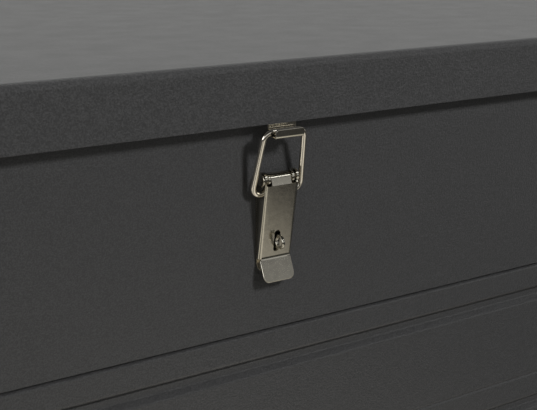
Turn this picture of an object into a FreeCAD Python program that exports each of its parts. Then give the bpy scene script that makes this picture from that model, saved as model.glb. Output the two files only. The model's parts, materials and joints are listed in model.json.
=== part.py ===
# Jobsite storage box: a sheet steel chest with a folded lid, a draw latch, lid stays and drop handles.
# Lengths are in millimetres. X runs along the front, Y from the front to the back, Z up from the ground.
import FreeCAD
import Part
import math
import os

Vector = FreeCAD.Vector

# Body: four walls, each an upper panel lapped over a ribbed lower panel
BODY_WIDTH = 1000.0
BODY_DEPTH = 540.0
WALL_SHEET = 1.0
UPPER_BAND = 108.0
MODULE_HEIGHT = 73.0
MODULE_COUNT = 5
GROOVE_DROP = 15.2
GROOVE_HEIGHT = 9.0
GROOVE_DEPTH = 3.0
GROOVE_SLOPE = 2.6
CREASE_HALF = 1.0
CREASE_DEPTH = 1.0
LAP = 15.0
SEAM_GAP = 0.6
JOGGLE_RUN = 1.4
RIM_FLANGE = 18.0
RIM_GAP = 0.5
CORNER_GAP = 6.0

# Corner posts and the bolts through them
POST_SHEET = 1.5
POST_LEG = 35.0
POST_BEND = 3.0
BOLT_R = 3.0
BOLT_CLEARANCE = 0.3
BOLT_HEAD_R = 5.4
BOLT_HEAD_HEIGHT = 3.2
BOLT_TAIL = 2.0
NUT_FLATS = 10.0
NUT_HEIGHT = 5.0
HEAD_ROUND_SHARE = 0.85

# Floor tray and the two skids that it stands on
FLOOR_SHEET = 1.5
FLOOR_FLANGE = 25.0
SKID_HEIGHT = 45.0
SKID_SHEET = 2.0
SKID_WEB = 70.0
SKID_FLANGE = 28.0
SKID_SIDE_INSET = 170.0
SKID_END_INSET = 20.0
SKID_BOLT_INSET = 120.0
ANCHOR_INSET = 80.0
ANCHOR_R = 5.5

# Lid: a folded pan, its two hat ribs and the seal on the body's rim
LID_SHEET = 1.0
SKIRT_HEIGHT = 30.0
FRONT_OVERHANG = 10.0
SIDE_OVERHANG = 10.0
REAR_OVERHANG = 4.5
LID_BEND = 4.0
LID_CORNER = 6.0
RIB_SIDE_INSET = 250.0
RIB_WIDTH = 50.0
RIB_FLANGE = 16.0
RIB_SLOPE = 8.0
RIB_HEIGHT = 12.0
RIB_END_GAP = 30.0
SEAL_HEIGHT = 5.0
SEAL_WIDTH = 10.0
SEAL_INSET = 4.0
SEAL_GAP = 0.2
LID_OPEN_DEGREES = 100.0

# Three butt hinges on the back
HINGE_INSET = 120.0
HINGE_SETBACK = 4.5
HINGE_DROP = 5.0
HINGE_WIDTH = 80.0
LEAF_SHEET = 2.0
BODY_LEAF_HEIGHT = 38.0
LID_LEAF_HEIGHT = 26.0
LEAF_CORNER = 5.0
KNUCKLE_R = 4.0
KNUCKLE_GAP = 0.3
LID_KNUCKLE = 28.0
KNUCKLE_RELIEF = 0.5
HINGE_PIN_R = 2.0
HINGE_PIN_HEAD_R = 3.0
HINGE_PIN_HEAD = 1.0
RUNNING_FIT = 0.05
RIVET_R = 2.0
RIVET_HEAD_R = 3.6
RIVET_HEAD = 1.5
RIVET_TAIL_R = 3.0
RIVET_TAIL = 1.2
HINGE_RIVET_MARGIN = 11.0
BODY_LEAF_RIVET_DROP = 24.0
LID_LEAF_RIVET_RISE = 17.0

# Draw latch, measured outwards from the front wall and down from the skirt's lower edge
KEEPER_SHEET = 1.2
KEEPER_WIDTH = 16.5
KEEPER_RISE = 22.0
KEEPER_BEND = 0.5
HOOK_MOUTH = 6.0
HOOK_DROP = 6.5
LIP_DROP = 1.8
LIP_CORNER = 1.6
WIRE_R = 1.5
WIRE_OUT = 11.3
WIRE_PLAY = 0.3
BAIL_BEND = 4.5
BAIL_FOOT_WIDTH = 32.0
BAIL_TOP_WIDTH = 26.0
BAIL_PIVOT_OUT = 3.7
BAIL_PIVOT_DROP = 35.6
BAIL_STUB_IN = 1.0
LATCH_PIVOT_OUT = 5.7
LATCH_PIVOT_DROP = 28.0
LATCH_PIN_R = 2.0
LATCH_PIN_HEAD_R = 3.2
LATCH_PIN_HEAD = 0.6
LATCH_SIDE_GAP = 0.15
LEVER_SHEET = 1.2
LEVER_WIDTH = 19.5
LEVER_TILT_DEGREES = 9.0
LEVER_LENGTH = 41.0
LEVER_SHOULDER = 2.2
ROLL_R = 3.9
ROLL_WIDTH = 11.4
LEVER_BEND = 1.6
BEND_SHARE = 0.9
FLANGE_FOOT = 1.3
TAB_FLARE_DEGREES = 23.0
TAB_WIDTH = 18.4
TAB_LENGTH = 12.3
TAB_CORNER = 3.5
SLOT_WIDTH = 3.4
SLOT_LENGTH = 11.4
BASE_SHEET = 1.0
BASE_WIDTH = 19.6
BASE_LENGTH = 49.0
BASE_CORNER = 6.0
EAR_SHEET = 1.2
EAR_GAP = 0.75
EAR_PLAY = 0.3
EYE_DROP = 60.4
EYE_OUT = 7.3
EYE_R = 3.7
EYE_HOLE_R = 2.2
EYE_SHEET = 1.8
LATCH_RIVET_R = 1.6
LATCH_RIVET_HEAD_R = 2.7
LATCH_RIVET_HEAD = 0.9
LATCH_RIVET_SPACING = 10.4
LATCH_UPPER_RIVET_DROP = 43.0
LATCH_LOWER_RIVET_DROP = 72.5

# Slotted lid stays inside both side walls
STAY_SHEET = 2.5
STAY_WIDTH = 16.0
STAY_PIVOT_FORWARD = 139.0
STAY_PIVOT_RISE = 7.0
STAY_STUD_DROP = 78.0
STAY_STAND_OFF = 21.5
STAY_GAP = 0.4
STAY_PIN_R = 3.0
STAY_PIN_HEAD_R = 5.0
STAY_PIN_HEAD = 1.6
STAY_SLOT_PLAY = 0.3
STUD_POST_R = 5.0
STUD_HEAD_R = 5.6
STUD_HEAD = 2.2
BRACKET_SHEET = 2.5
BRACKET_R = 9.0
BRACKET_FOOT = 22.0
BRACKET_FOOT_WIDTH = 34.0

# Drop handles on the side walls, measured outwards from the wall and down from the skirt's lower edge
HANDLE_DROP = 34.0
HANDLE_OUT = 10.0
HANDLE_WIRE_R = 4.0
HANDLE_SPAN = 140.0
HANDLE_REACH = 60.0
HANDLE_BEND = 10.0
HANDLE_STUB_IN = 2.0
GRIP_R = 8.0
GRIP_END_GAP = 13.0
GRIP_ROUND = 2.5
BUSH_R = 7.0
BUSH_LENGTH = 16.0
BUSH_END_GAP = 2.0
PLATE_SHEET = 2.0
PLATE_MARGIN = 6.0
PLATE_HEIGHT = 38.0
PLATE_CORNER = 6.0
PLATE_RIVET_GAP = 12.0
PLATE_RIVET_HEIGHT = 22.0

# One overrun for every cut that passes right through
OVERRUN = 2.0

# Levels
SEAM_Z = SKID_HEIGHT + MODULE_COUNT * MODULE_HEIGHT
SKIRT_Z = SEAM_Z + UPPER_BAND
LID_TOP = SKIRT_Z + SKIRT_HEIGHT
LID_UNDER = LID_TOP - LID_SHEET
RIM_TOP = LID_UNDER - SEAL_HEIGHT
HINGE_Z = SKIRT_Z - HINGE_DROP

# Plan: the front of the hook and the back of the hinges lie equally far from the origin
HOOK_BACK = FRONT_OVERHANG - LID_SHEET
FRONT_REACH = HOOK_BACK + HOOK_MOUTH + KEEPER_SHEET
REAR_REACH = HINGE_SETBACK + KNUCKLE_R
FRONT_Y = (FRONT_REACH - REAR_REACH - BODY_DEPTH) / 2
BACK_Y = FRONT_Y + BODY_DEPTH
MID_Y = (FRONT_Y + BACK_Y) / 2
HINGE_Y = BACK_Y + HINGE_SETBACK
WALL_PLACES = {
    "front": (0, Vector(0, FRONT_Y, 0), BODY_WIDTH),
    "right": (90, Vector(BODY_WIDTH / 2, MID_Y, 0), BODY_DEPTH),
    "back": (180, Vector(0, BACK_Y, 0), BODY_WIDTH),
    "left": (270, Vector(-BODY_WIDTH / 2, MID_Y, 0), BODY_DEPTH),
}
CORNER_PLACES = {
    "front_right": (0, Vector(BODY_WIDTH / 2, FRONT_Y, 0)),
    "back_right": (90, Vector(BODY_WIDTH / 2, BACK_Y, 0)),
    "back_left": (180, Vector(-BODY_WIDTH / 2, BACK_Y, 0)),
    "front_left": (270, Vector(-BODY_WIDTH / 2, FRONT_Y, 0)),
}
HINGE_REACH = BODY_WIDTH / 2 - HINGE_INSET
HINGE_PLACES = {"left": -HINGE_REACH, "middle": 0, "right": HINGE_REACH}
HINGE_RIVET_STEP = HINGE_WIDTH / 2 - HINGE_RIVET_MARGIN
SKID_REACH = BODY_WIDTH / 2 - SKID_SIDE_INSET
RIB_REACH = BODY_WIDTH / 2 - RIB_SIDE_INSET
OUTWARD = Vector(0, -1, 0)


# Plain shapes

def block(x_ends, y_ends, z_ends):
    """Box between two ends on each axis, given low end first."""
    size = [high - low for low, high in (x_ends, y_ends, z_ends)]
    return Part.makeBox(*size, Vector(x_ends[0], y_ends[0], z_ends[0]))


def bar(radius, start, end):
    """Round bar from one point to another."""
    return Part.makeCylinder(radius, (end - start).Length, start, end - start)


def prism(corners, travel):
    """Straight prism on a closed row of corners."""
    return Part.Face(Part.makePolygon(corners + corners[:1])).extrude(travel)


def prism_x(outline, x_ends):
    """Prism along X on an outline of Y and Z."""
    corners = [Vector(x_ends[0], y, z) for y, z in outline]
    return prism(corners, Vector(x_ends[1] - x_ends[0], 0, 0))


def prism_y(outline, y_ends):
    """Prism along Y on an outline of X and Z."""
    corners = [Vector(x, y_ends[0], z) for x, z in outline]
    return prism(corners, Vector(0, y_ends[1] - y_ends[0], 0))


def prism_z(outline, z_ends):
    """Prism along Z on an outline of X and Y."""
    corners = [Vector(x, y, z_ends[0]) for x, y in outline]
    return prism(corners, Vector(0, 0, z_ends[1] - z_ends[0]))


def mirrored_ends(half):
    """Two ends equally far from zero."""
    return -half, half


def side_ends(side, inner, outer):
    """Ends of a span on one side of zero, low end first."""
    return tuple(sorted((side * inner, side * outer)))


def left_normal(start, end):
    """Unit normal to the left of a run."""
    run = (end[0] - start[0], end[1] - start[1])
    length = math.hypot(*run)
    return -run[1] / length, run[0] / length


def sheet_outline(path, sheet):
    """Closed outline of a bent sheet: a path and its mitred copy to the left of its travel."""
    normals = [left_normal(start, end) for start, end in zip(path, path[1:])]
    copy = []
    for index, (first, second) in enumerate(path):
        before = normals[max(index - 1, 0)]
        after = normals[min(index, len(normals) - 1)]
        stretch = sheet / (1 + before[0] * after[0] + before[1] * after[1])
        copy.append((first + stretch * (before[0] + after[0]), second + stretch * (before[1] + after[1])))
    return path + copy[::-1]


def strip_x(start, end, radius, x_ends):
    """Plate across X with two round ends, between two places in Y and Z."""
    normal = left_normal(start, end)
    shift = (normal[0] * radius, normal[1] * radius)
    outline = [(start[0] + shift[0], start[1] + shift[1]), (start[0] - shift[0], start[1] - shift[1]),
               (end[0] - shift[0], end[1] - shift[1]), (end[0] + shift[0], end[1] + shift[1])]
    shape = prism_x(outline, x_ends)
    for y, z in (start, end):
        shape = shape.fuse(bar(radius, Vector(x_ends[0], y, z), Vector(x_ends[1], y, z)))
    return shape.removeSplitter()


def bar_x(radius, place, x_ends):
    """Round bar along X at a place in Y and Z."""
    return bar(radius, Vector(x_ends[0], *place), Vector(x_ends[1], *place))


def edges_along(shape, axis, test):
    """Straight edges along one axis whose middle passes a test."""
    found = []
    for edge in shape.Edges:
        run = edge.Vertexes[-1].Point - edge.Vertexes[0].Point
        if run.Length and run.cross(axis).Length < edge.Tolerance * run.Length and test(edge.CenterOfMass):
            found.append(edge)
    return found


def round_edges(shape, radius, axis, test):
    """Shape with the chosen straight edges rounded."""
    return shape.makeFillet(radius, edges_along(shape, axis, test))


def near(first, second):
    """True where two lengths agree to well under the sheet's thickness."""
    return abs(first - second) < WALL_SHEET / 100


def wire_bar(points, bend, radius):
    """Bent round wire through points, with equal arcs at its inner corners."""
    edges = []
    start = points[0]
    for before, corner, after in zip(points, points[1:], points[2:]):
        into = (corner - before).normalize()
        out = (after - corner).normalize()
        turn = into.getAngle(out)
        setback = bend * math.tan(turn / 2)
        entry = corner - into * setback
        leave = corner + out * setback
        inward = (out - into).normalize()
        middle = corner + inward * (bend / math.cos(turn / 2) - bend)
        edges.append(Part.LineSegment(start, entry).toShape())
        edges.append(Part.Arc(entry, middle, leave).toShape())
        start = leave
    edges.append(Part.LineSegment(start, points[-1]).toShape())
    section = Part.Wire(Part.makeCircle(radius, points[0], points[1] - points[0]))
    return Part.Wire(edges).makePipeShell([section], True, True)


def on_wall(shape, side):
    """Shape modelled on a front wall in the plane of Y = 0, set on one of the four walls."""
    degrees, place, _ = WALL_PLACES[side]
    turned = shape.copy()
    turned.rotate(Vector(0, 0, 0), Vector(0, 0, 1), degrees)
    turned.translate(place)
    return turned


def side_wall(sign):
    """Name of the side wall on the given side of the middle."""
    return "right" if sign > 0 else "left"


# Fasteners

def domed_head(radius, height, seat, outward):
    """Round head with a rounded rim."""
    head = bar(radius, seat, seat + outward * height)
    top = seat + outward * height
    rims = [edge for edge in head.Edges if edge.Closed and (edge.CenterOfMass - top).Length < height / 2]
    return head.makeFillet(height * HEAD_ROUND_SHARE, rims)


def rivet(seat, outward, grip, radius=RIVET_R, head_radius=RIVET_HEAD_R, head_height=RIVET_HEAD):
    """Set rivet: a domed head on the seat, a shank through the grip and a flat tail behind it."""
    behind = seat - outward * grip
    shape = domed_head(head_radius, head_height, seat, outward)
    shape = shape.fuse(bar(radius, seat, behind))
    tail_radius = radius * RIVET_TAIL_R / RIVET_R
    shape = shape.fuse(bar(tail_radius, behind, behind - outward * RIVET_TAIL))
    return shape.removeSplitter()


def rivet_hole(seat, outward, grip, radius=RIVET_R):
    """Drill for a rivet."""
    return bar(radius + RUNNING_FIT, seat + outward * OVERRUN, seat - outward * (grip + OVERRUN))


def bolt(seat, outward, grip):
    """Button head bolt whose thread stands out of its nut."""
    length = grip + NUT_HEIGHT + BOLT_TAIL
    head = domed_head(BOLT_HEAD_R, BOLT_HEAD_HEIGHT, seat, outward)
    return head.fuse(bar(BOLT_R, seat, seat - outward * length)).removeSplitter()


def nut(seat, outward, grip):
    """Hexagon nut under the grip of a bolt."""
    base = seat - outward * grip
    across = outward.cross(Vector(0, 0, 1) if outward.z == 0 else Vector(1, 0, 0))
    up = outward.cross(across)
    corner = NUT_FLATS / math.sqrt(3)
    corners = []
    for index in range(6):
        angle = math.pi * index / 3
        corners.append(base + across * (corner * math.cos(angle)) + up * (corner * math.sin(angle)))
    blank = prism(corners, outward * -NUT_HEIGHT)
    bore = bar(BOLT_R + RUNNING_FIT, base + outward * OVERRUN, base - outward * (NUT_HEIGHT + OVERRUN))
    return blank.cut(bore)


def bolt_hole(seat, outward, grip):
    """Drill for a bolt."""
    return bar(BOLT_R + BOLT_CLEARANCE, seat + outward * OVERRUN, seat - outward * (grip + OVERRUN))


# Places of fasteners, on a wall in the plane of Y = 0

def post_bolt_heights():
    """Levels of the corner bolts: the upper band's middle, then the flat of every second module."""
    groove_foot = GROOVE_DROP + GROOVE_HEIGHT
    heights = [SEAM_Z + UPPER_BAND / 2]
    for index in range(1, MODULE_COUNT, 2):
        heights.append(SEAM_Z - index * MODULE_HEIGHT - (groove_foot + MODULE_HEIGHT) / 2)
    return heights


def post_bolt_seats(side):
    """Seats of the corner bolts on one wall, on the posts' outer faces."""
    span = WALL_PLACES[side][2]
    reach = span / 2 - POST_LEG / 2
    return [Vector(end * reach, -POST_SHEET, z) for end in (-1, 1) for z in post_bolt_heights()]


def post_bolt_drills(side):
    """Drills for the corner bolts of one wall."""
    grip = POST_SHEET + WALL_SHEET
    return [bolt_hole(seat, OUTWARD, grip) for seat in post_bolt_seats(side)]


def latch_rivet_seats():
    """Seats of the latch's rivets on its base plate."""
    half = LATCH_RIVET_SPACING / 2
    upper = SKIRT_Z - LATCH_UPPER_RIVET_DROP
    lower = SKIRT_Z - LATCH_LOWER_RIVET_DROP
    return [Vector(x, -BASE_SHEET, z) for x, z in ((-half, upper), (half, upper), (0, lower))]


def hinge_rivet_xs():
    """X of every hinge rivet, three to a leaf."""
    return [x + step * HINGE_RIVET_STEP for x in HINGE_PLACES.values() for step in (-1, 0, 1)]


def bush_ends():
    """Inner and outer end of a handle bush, short of the bar's bend."""
    outer = HANDLE_SPAN / 2 - HANDLE_BEND - BUSH_END_GAP
    return outer - BUSH_LENGTH, outer


def handle_rivet_seats():
    """Seats of a handle's rivets on its bracket plate."""
    middle = SKIRT_Z - HANDLE_DROP
    halves = (bush_ends()[0] - PLATE_RIVET_GAP, PLATE_RIVET_HEIGHT / 2)
    return [Vector(across * halves[0], -PLATE_SHEET, middle + up * halves[1])
            for across in (-1, 1) for up in (-1, 1)]


def stay_places():
    """Places in Y and Z of a stay's pivot on the lid and of its stud on the wall.

    Both lie equally far from the hinge, so the arm turns at exactly half the lid's rate.
    """
    reach = math.hypot(STAY_PIVOT_FORWARD, STAY_PIVOT_RISE)
    stud_forward = math.sqrt(reach ** 2 - STAY_STUD_DROP ** 2)
    pivot = (HINGE_Y - STAY_PIVOT_FORWARD, HINGE_Z + STAY_PIVOT_RISE)
    stud = (HINGE_Y - stud_forward, HINGE_Z - STAY_STUD_DROP)
    return pivot, stud


def stay_slot_length():
    """Travel of the stud along the arm, from the closed lid to the open one."""
    pivot, stud = stay_places()
    reach = math.hypot(STAY_PIVOT_FORWARD, STAY_PIVOT_RISE)
    closed = math.dist(pivot, stud)
    angle = 2 * math.asin(closed / (2 * reach)) + math.radians(LID_OPEN_DEGREES)
    return 2 * reach * math.sin(angle / 2) - closed


# Walls

def panel_x_ends(side):
    """Ends of a wall panel, short of both corners."""
    return mirrored_ends(WALL_PLACES[side][2] / 2 - CORNER_GAP)


def upper_panel_drills(side):
    """Drills through one upper panel."""
    drills = post_bolt_drills(side)
    if side == "front":
        grip = BASE_SHEET + WALL_SHEET
        drills += [rivet_hole(seat, OUTWARD, grip, LATCH_RIVET_R) for seat in latch_rivet_seats()]
    elif side == "back":
        grip = LEAF_SHEET + WALL_SHEET
        z = HINGE_Z - BODY_LEAF_RIVET_DROP
        drills += [rivet_hole(Vector(x, -LEAF_SHEET, z), OUTWARD, grip) for x in hinge_rivet_xs()]
    else:
        grip = PLATE_SHEET + WALL_SHEET
        drills += [rivet_hole(seat, OUTWARD, grip) for seat in handle_rivet_seats()]
        stud_y, stud_z = stay_places()[1]
        along = (stud_y - MID_Y) * (1 if side == "right" else -1)
        drills.append(rivet_hole(Vector(along, 0, stud_z), OUTWARD, WALL_SHEET, STAY_PIN_R))
    return drills


def upper_panel(side):
    """Flat upper sheet with a flange turned in at the rim."""
    x_ends = panel_x_ends(side)
    path = [(RIM_FLANGE, RIM_TOP), (0, RIM_TOP), (0, SEAM_Z)]
    panel = prism_x(sheet_outline(path, WALL_SHEET), x_ends)
    if side in ("left", "right"):
        notch = RIM_FLANGE - CORNER_GAP + RIM_GAP
        for end in (-1, 1):
            x_cut = side_ends(end, x_ends[1] - notch, x_ends[1] + OVERRUN)
            panel = panel.cut(block(x_cut, (WALL_SHEET, RIM_FLANGE + OVERRUN),
                                    (RIM_TOP - WALL_SHEET - OVERRUN, RIM_TOP + OVERRUN)))
    return on_wall(panel.cut(upper_panel_drills(side)), side)


def lower_panel_path():
    """Outer line of a lower panel in Y and Z: a joggled top, then a groove in each module."""
    path = [(WALL_SHEET, SEAM_Z + LAP), (WALL_SHEET, SEAM_Z - SEAM_GAP), (0, SEAM_Z - SEAM_GAP - JOGGLE_RUN)]
    for index in range(MODULE_COUNT):
        top = SEAM_Z - index * MODULE_HEIGHT
        if index:
            path += [(0, top + CREASE_HALF), (CREASE_DEPTH, top), (0, top - CREASE_HALF)]
        head = top - GROOVE_DROP
        foot = head - GROOVE_HEIGHT
        path += [(0, head), (GROOVE_DEPTH, head - GROOVE_SLOPE)]
        path += [(GROOVE_DEPTH, foot + GROOVE_SLOPE), (0, foot)]
    return path + [(0, SKID_HEIGHT)]


def lower_panel(side):
    """Ribbed lower sheet that tucks behind the upper one."""
    panel = prism_x(sheet_outline(lower_panel_path(), WALL_SHEET), panel_x_ends(side))
    return on_wall(panel.cut(post_bolt_drills(side)), side)


def corner_post(corner):
    """Folded angle outside a corner, which joins two walls."""
    degrees, place = CORNER_PLACES[corner]
    path = [(0, POST_LEG), (0, 0), (-POST_LEG, 0)]
    post = prism_z(sheet_outline(path, POST_SHEET), (SKID_HEIGHT, RIM_TOP))
    upright = Vector(0, 0, 1)
    post = round_edges(post, POST_BEND, upright,
                       lambda at: near(at.x, POST_SHEET) and near(at.y, -POST_SHEET))
    post = round_edges(post, POST_BEND - POST_SHEET, upright, lambda at: near(at.x, 0) and near(at.y, 0))
    post.rotate(Vector(0, 0, 0), upright, degrees)
    post.translate(place)
    drills = [on_wall(drill, side) for side in WALL_PLACES for drill in post_bolt_drills(side)]
    return post.cut(drills)


def corner_fasteners(make):
    """Every corner bolt, or every nut."""
    grip = POST_SHEET + WALL_SHEET
    shapes = [on_wall(make(seat, OUTWARD, grip), side)
              for side in WALL_PLACES for seat in post_bolt_seats(side)]
    return Part.makeCompound(shapes)


# Floor and skids

def skid_bolt_seats():
    """Seats of the skid bolts, under the skids' flanges."""
    outs = (SKID_WEB / 2 + SKID_SHEET + SKID_FLANGE / 2, -SKID_WEB / 2 - SKID_SHEET - SKID_FLANGE / 2)
    ends = (FRONT_Y + SKID_BOLT_INSET, BACK_Y - SKID_BOLT_INSET)
    return [Vector(side * SKID_REACH + out, y, SKID_HEIGHT - SKID_SHEET)
            for side in (-1, 1) for out in outs for y in ends]


def skid_bolt_drills():
    """Drills for the skid bolts."""
    return [bolt_hole(seat, Vector(0, 0, -1), SKID_SHEET + FLOOR_SHEET) for seat in skid_bolt_seats()]


def anchor_drills():
    """Drills for bolts that hold the box down, through the floor and both skids."""
    top = SKID_HEIGHT + FLOOR_SHEET + OVERRUN
    return [bar(ANCHOR_R, Vector(side * SKID_REACH, y, -OVERRUN), Vector(side * SKID_REACH, y, top))
            for side in (-1, 1) for y in (FRONT_Y + ANCHOR_INSET, BACK_Y - ANCHOR_INSET)]


def floor_panel():
    """Floor tray whose flanges stand against the walls."""
    half = BODY_WIDTH / 2 - WALL_SHEET
    ends = (FRONT_Y + WALL_SHEET, BACK_Y - WALL_SHEET)
    tray = block(mirrored_ends(half), ends, (SKID_HEIGHT, SKID_HEIGHT + FLOOR_FLANGE))
    inner = block(mirrored_ends(half - FLOOR_SHEET), (ends[0] + FLOOR_SHEET, ends[1] - FLOOR_SHEET),
                  (SKID_HEIGHT + FLOOR_SHEET, SKID_HEIGHT + FLOOR_FLANGE + OVERRUN))
    return tray.cut(inner).cut(skid_bolt_drills() + anchor_drills())


def skid(sign):
    """Hat channel from front to back under the floor."""
    half = SKID_WEB / 2
    rim = half + SKID_SHEET + SKID_FLANGE
    path = [(rim, SKID_HEIGHT), (half, SKID_HEIGHT), (half, SKID_SHEET),
            (-half, SKID_SHEET), (-half, SKID_HEIGHT), (-rim, SKID_HEIGHT)]
    shape = prism_y(sheet_outline(path, SKID_SHEET), (FRONT_Y + SKID_END_INSET, BACK_Y - SKID_END_INSET))
    shape.translate(Vector(sign * SKID_REACH, 0, 0))
    return shape.cut(skid_bolt_drills() + anchor_drills())


def skid_fasteners(make):
    """Every skid bolt, or every nut on the floor."""
    grip = SKID_SHEET + FLOOR_SHEET
    return Part.makeCompound([make(seat, Vector(0, 0, -1), grip) for seat in skid_bolt_seats()])


# Lid

def rounded_pan(inset, top, foot):
    """Block of the lid's plan, with rounded corners and a rounded top edge."""
    half = BODY_WIDTH / 2 + SIDE_OVERHANG - inset
    ends = (FRONT_Y - FRONT_OVERHANG + inset, BACK_Y + REAR_OVERHANG - inset)
    pan = block(mirrored_ends(half), ends, (foot, top))
    pan = round_edges(pan, LID_CORNER - inset, Vector(0, 0, 1), lambda at: True)
    rim = [edge for edge in pan.Edges if near(edge.BoundBox.ZMin, top)]
    return pan.makeFillet(LID_BEND - inset, rim)


def lid_rivet_seats():
    """Seats of the rivets through the lid's hinge leaves, on the back wall's local frame."""
    outer = REAR_OVERHANG + LEAF_SHEET
    return [Vector(x, -outer, SKIRT_Z + LID_LEAF_RIVET_RISE) for x in hinge_rivet_xs()]


def lid_shell():
    """Lid folded from one sheet, with a skirt on all four sides."""
    shell = rounded_pan(0, LID_TOP, SKIRT_Z).cut(rounded_pan(LID_SHEET, LID_UNDER, SKIRT_Z - OVERRUN))
    grip = LEAF_SHEET + LID_SHEET
    drills = [on_wall(rivet_hole(seat, OUTWARD, grip), "back") for seat in lid_rivet_seats()]
    return shell.cut(drills)


def lid_rib(sign):
    """Hat rib under the lid, from front to back."""
    half = RIB_WIDTH / 2
    path = [(half + RIB_FLANGE, LID_UNDER), (half, LID_UNDER), (half - RIB_SLOPE, LID_UNDER - RIB_HEIGHT),
            (RIB_SLOPE - half, LID_UNDER - RIB_HEIGHT), (-half, LID_UNDER), (-half - RIB_FLANGE, LID_UNDER)]
    ends = (FRONT_Y + RIB_END_GAP, BACK_Y - RIB_END_GAP)
    rib = prism_y(sheet_outline(path, LID_SHEET), ends)
    rib.translate(Vector(sign * RIB_REACH, 0, 0))
    return rib


def seal_ring(inset):
    """Block inside the walls at the seal's height."""
    half = BODY_WIDTH / 2 - inset
    return block(mirrored_ends(half), (FRONT_Y + inset, BACK_Y - inset), (RIM_TOP, LID_UNDER - SEAL_GAP))


def lid_seal():
    """Rubber strip all round the rim."""
    return seal_ring(SEAL_INSET).cut(seal_ring(SEAL_INSET + SEAL_WIDTH))


# Hinges, modelled on the back wall's local frame

def hinge_knuckle(x_ends):
    """Solid knuckle between two ends."""
    return bar_x(KNUCKLE_R, (-HINGE_SETBACK, HINGE_Z), x_ends)


def hinge_bore():
    """Drill for the hinge pin."""
    reach = HINGE_WIDTH / 2 + OVERRUN
    return bar_x(HINGE_PIN_R + RUNNING_FIT, (-HINGE_SETBACK, HINGE_Z), mirrored_ends(reach))


def hinge_body_leaf(x):
    """Leaf on the back wall, with a knuckle at each end."""
    half = HINGE_WIDTH / 2
    foot = HINGE_Z - BODY_LEAF_HEIGHT
    leaf = block(mirrored_ends(half), (-LEAF_SHEET, 0), (foot, HINGE_Z))
    leaf = round_edges(leaf, LEAF_CORNER, Vector(0, 1, 0), lambda at: near(at.z, foot))
    relief = LID_KNUCKLE / 2 + KNUCKLE_GAP
    leaf = leaf.cut(block(mirrored_ends(relief), (-LEAF_SHEET - OVERRUN, OVERRUN),
                          (HINGE_Z - KNUCKLE_R - KNUCKLE_RELIEF, HINGE_Z + OVERRUN)))
    for side in (-1, 1):
        leaf = leaf.fuse(hinge_knuckle(side_ends(side, relief, half)))
    z = HINGE_Z - BODY_LEAF_RIVET_DROP
    drills = [rivet_hole(Vector(step * HINGE_RIVET_STEP, -LEAF_SHEET, z), OUTWARD, LEAF_SHEET)
              for step in (-1, 0, 1)]
    leaf = leaf.cut(drills + [hinge_bore()]).removeSplitter()
    leaf.translate(Vector(x, 0, 0))
    return on_wall(leaf, "back")


def hinge_lid_leaf(x):
    """Leaf on the lid's rear skirt, with a knuckle in the middle."""
    half = HINGE_WIDTH / 2
    outer = REAR_OVERHANG + LEAF_SHEET
    top = SKIRT_Z + LID_LEAF_HEIGHT
    leaf = block(mirrored_ends(half), (-outer, -REAR_OVERHANG), (HINGE_Z + KNUCKLE_R + KNUCKLE_RELIEF, top))
    leaf = round_edges(leaf, LEAF_CORNER, Vector(0, 1, 0), lambda at: near(at.z, top))
    neck = mirrored_ends(LID_KNUCKLE / 2)
    leaf = leaf.fuse(block(neck, (-outer, -REAR_OVERHANG), (HINGE_Z, SKIRT_Z)))
    leaf = leaf.fuse(hinge_knuckle(neck))
    z = SKIRT_Z + LID_LEAF_RIVET_RISE
    drills = [rivet_hole(Vector(step * HINGE_RIVET_STEP, -outer, z), OUTWARD, LEAF_SHEET)
              for step in (-1, 0, 1)]
    leaf = leaf.cut(drills + [hinge_bore()]).removeSplitter()
    leaf.translate(Vector(x, 0, 0))
    return on_wall(leaf, "back")


def hinge_pin(x):
    """Pin through three knuckles, peened over at both ends."""
    half = HINGE_WIDTH / 2 + RUNNING_FIT
    place = (-HINGE_SETBACK, HINGE_Z)
    pin = bar_x(HINGE_PIN_R, place, mirrored_ends(half))
    for side in (-1, 1):
        outward = Vector(side, 0, 0)
        pin = pin.fuse(domed_head(HINGE_PIN_HEAD_R, HINGE_PIN_HEAD, Vector(side * half, *place), outward))
    pin = pin.removeSplitter()
    pin.translate(Vector(x, 0, 0))
    return on_wall(pin, "back")


def hinge_body_rivets():
    """Rivets that hold the hinges to the back wall."""
    z = HINGE_Z - BODY_LEAF_RIVET_DROP
    grip = LEAF_SHEET + WALL_SHEET
    shapes = [on_wall(rivet(Vector(x, -LEAF_SHEET, z), OUTWARD, grip), "back") for x in hinge_rivet_xs()]
    return Part.makeCompound(shapes)


def hinge_lid_rivets():
    """Rivets that hold the hinges to the lid."""
    grip = LEAF_SHEET + LID_SHEET
    return Part.makeCompound([on_wall(rivet(seat, OUTWARD, grip), "back") for seat in lid_rivet_seats()])


# Draw latch, modelled on the front wall's local frame with Z from the skirt's lower edge

def place_latch(shape):
    """Latch piece set on the front wall."""
    placed = shape.copy()
    placed.translate(Vector(0, FRONT_Y, SKIRT_Z))
    return placed


def latch_pivot():
    """Place of the lever's pin in Y and Z."""
    return -LATCH_PIVOT_OUT, -LATCH_PIVOT_DROP


def bail_pivot():
    """Place of the bail's ends in Y and Z."""
    return -BAIL_PIVOT_OUT, -BAIL_PIVOT_DROP


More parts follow.
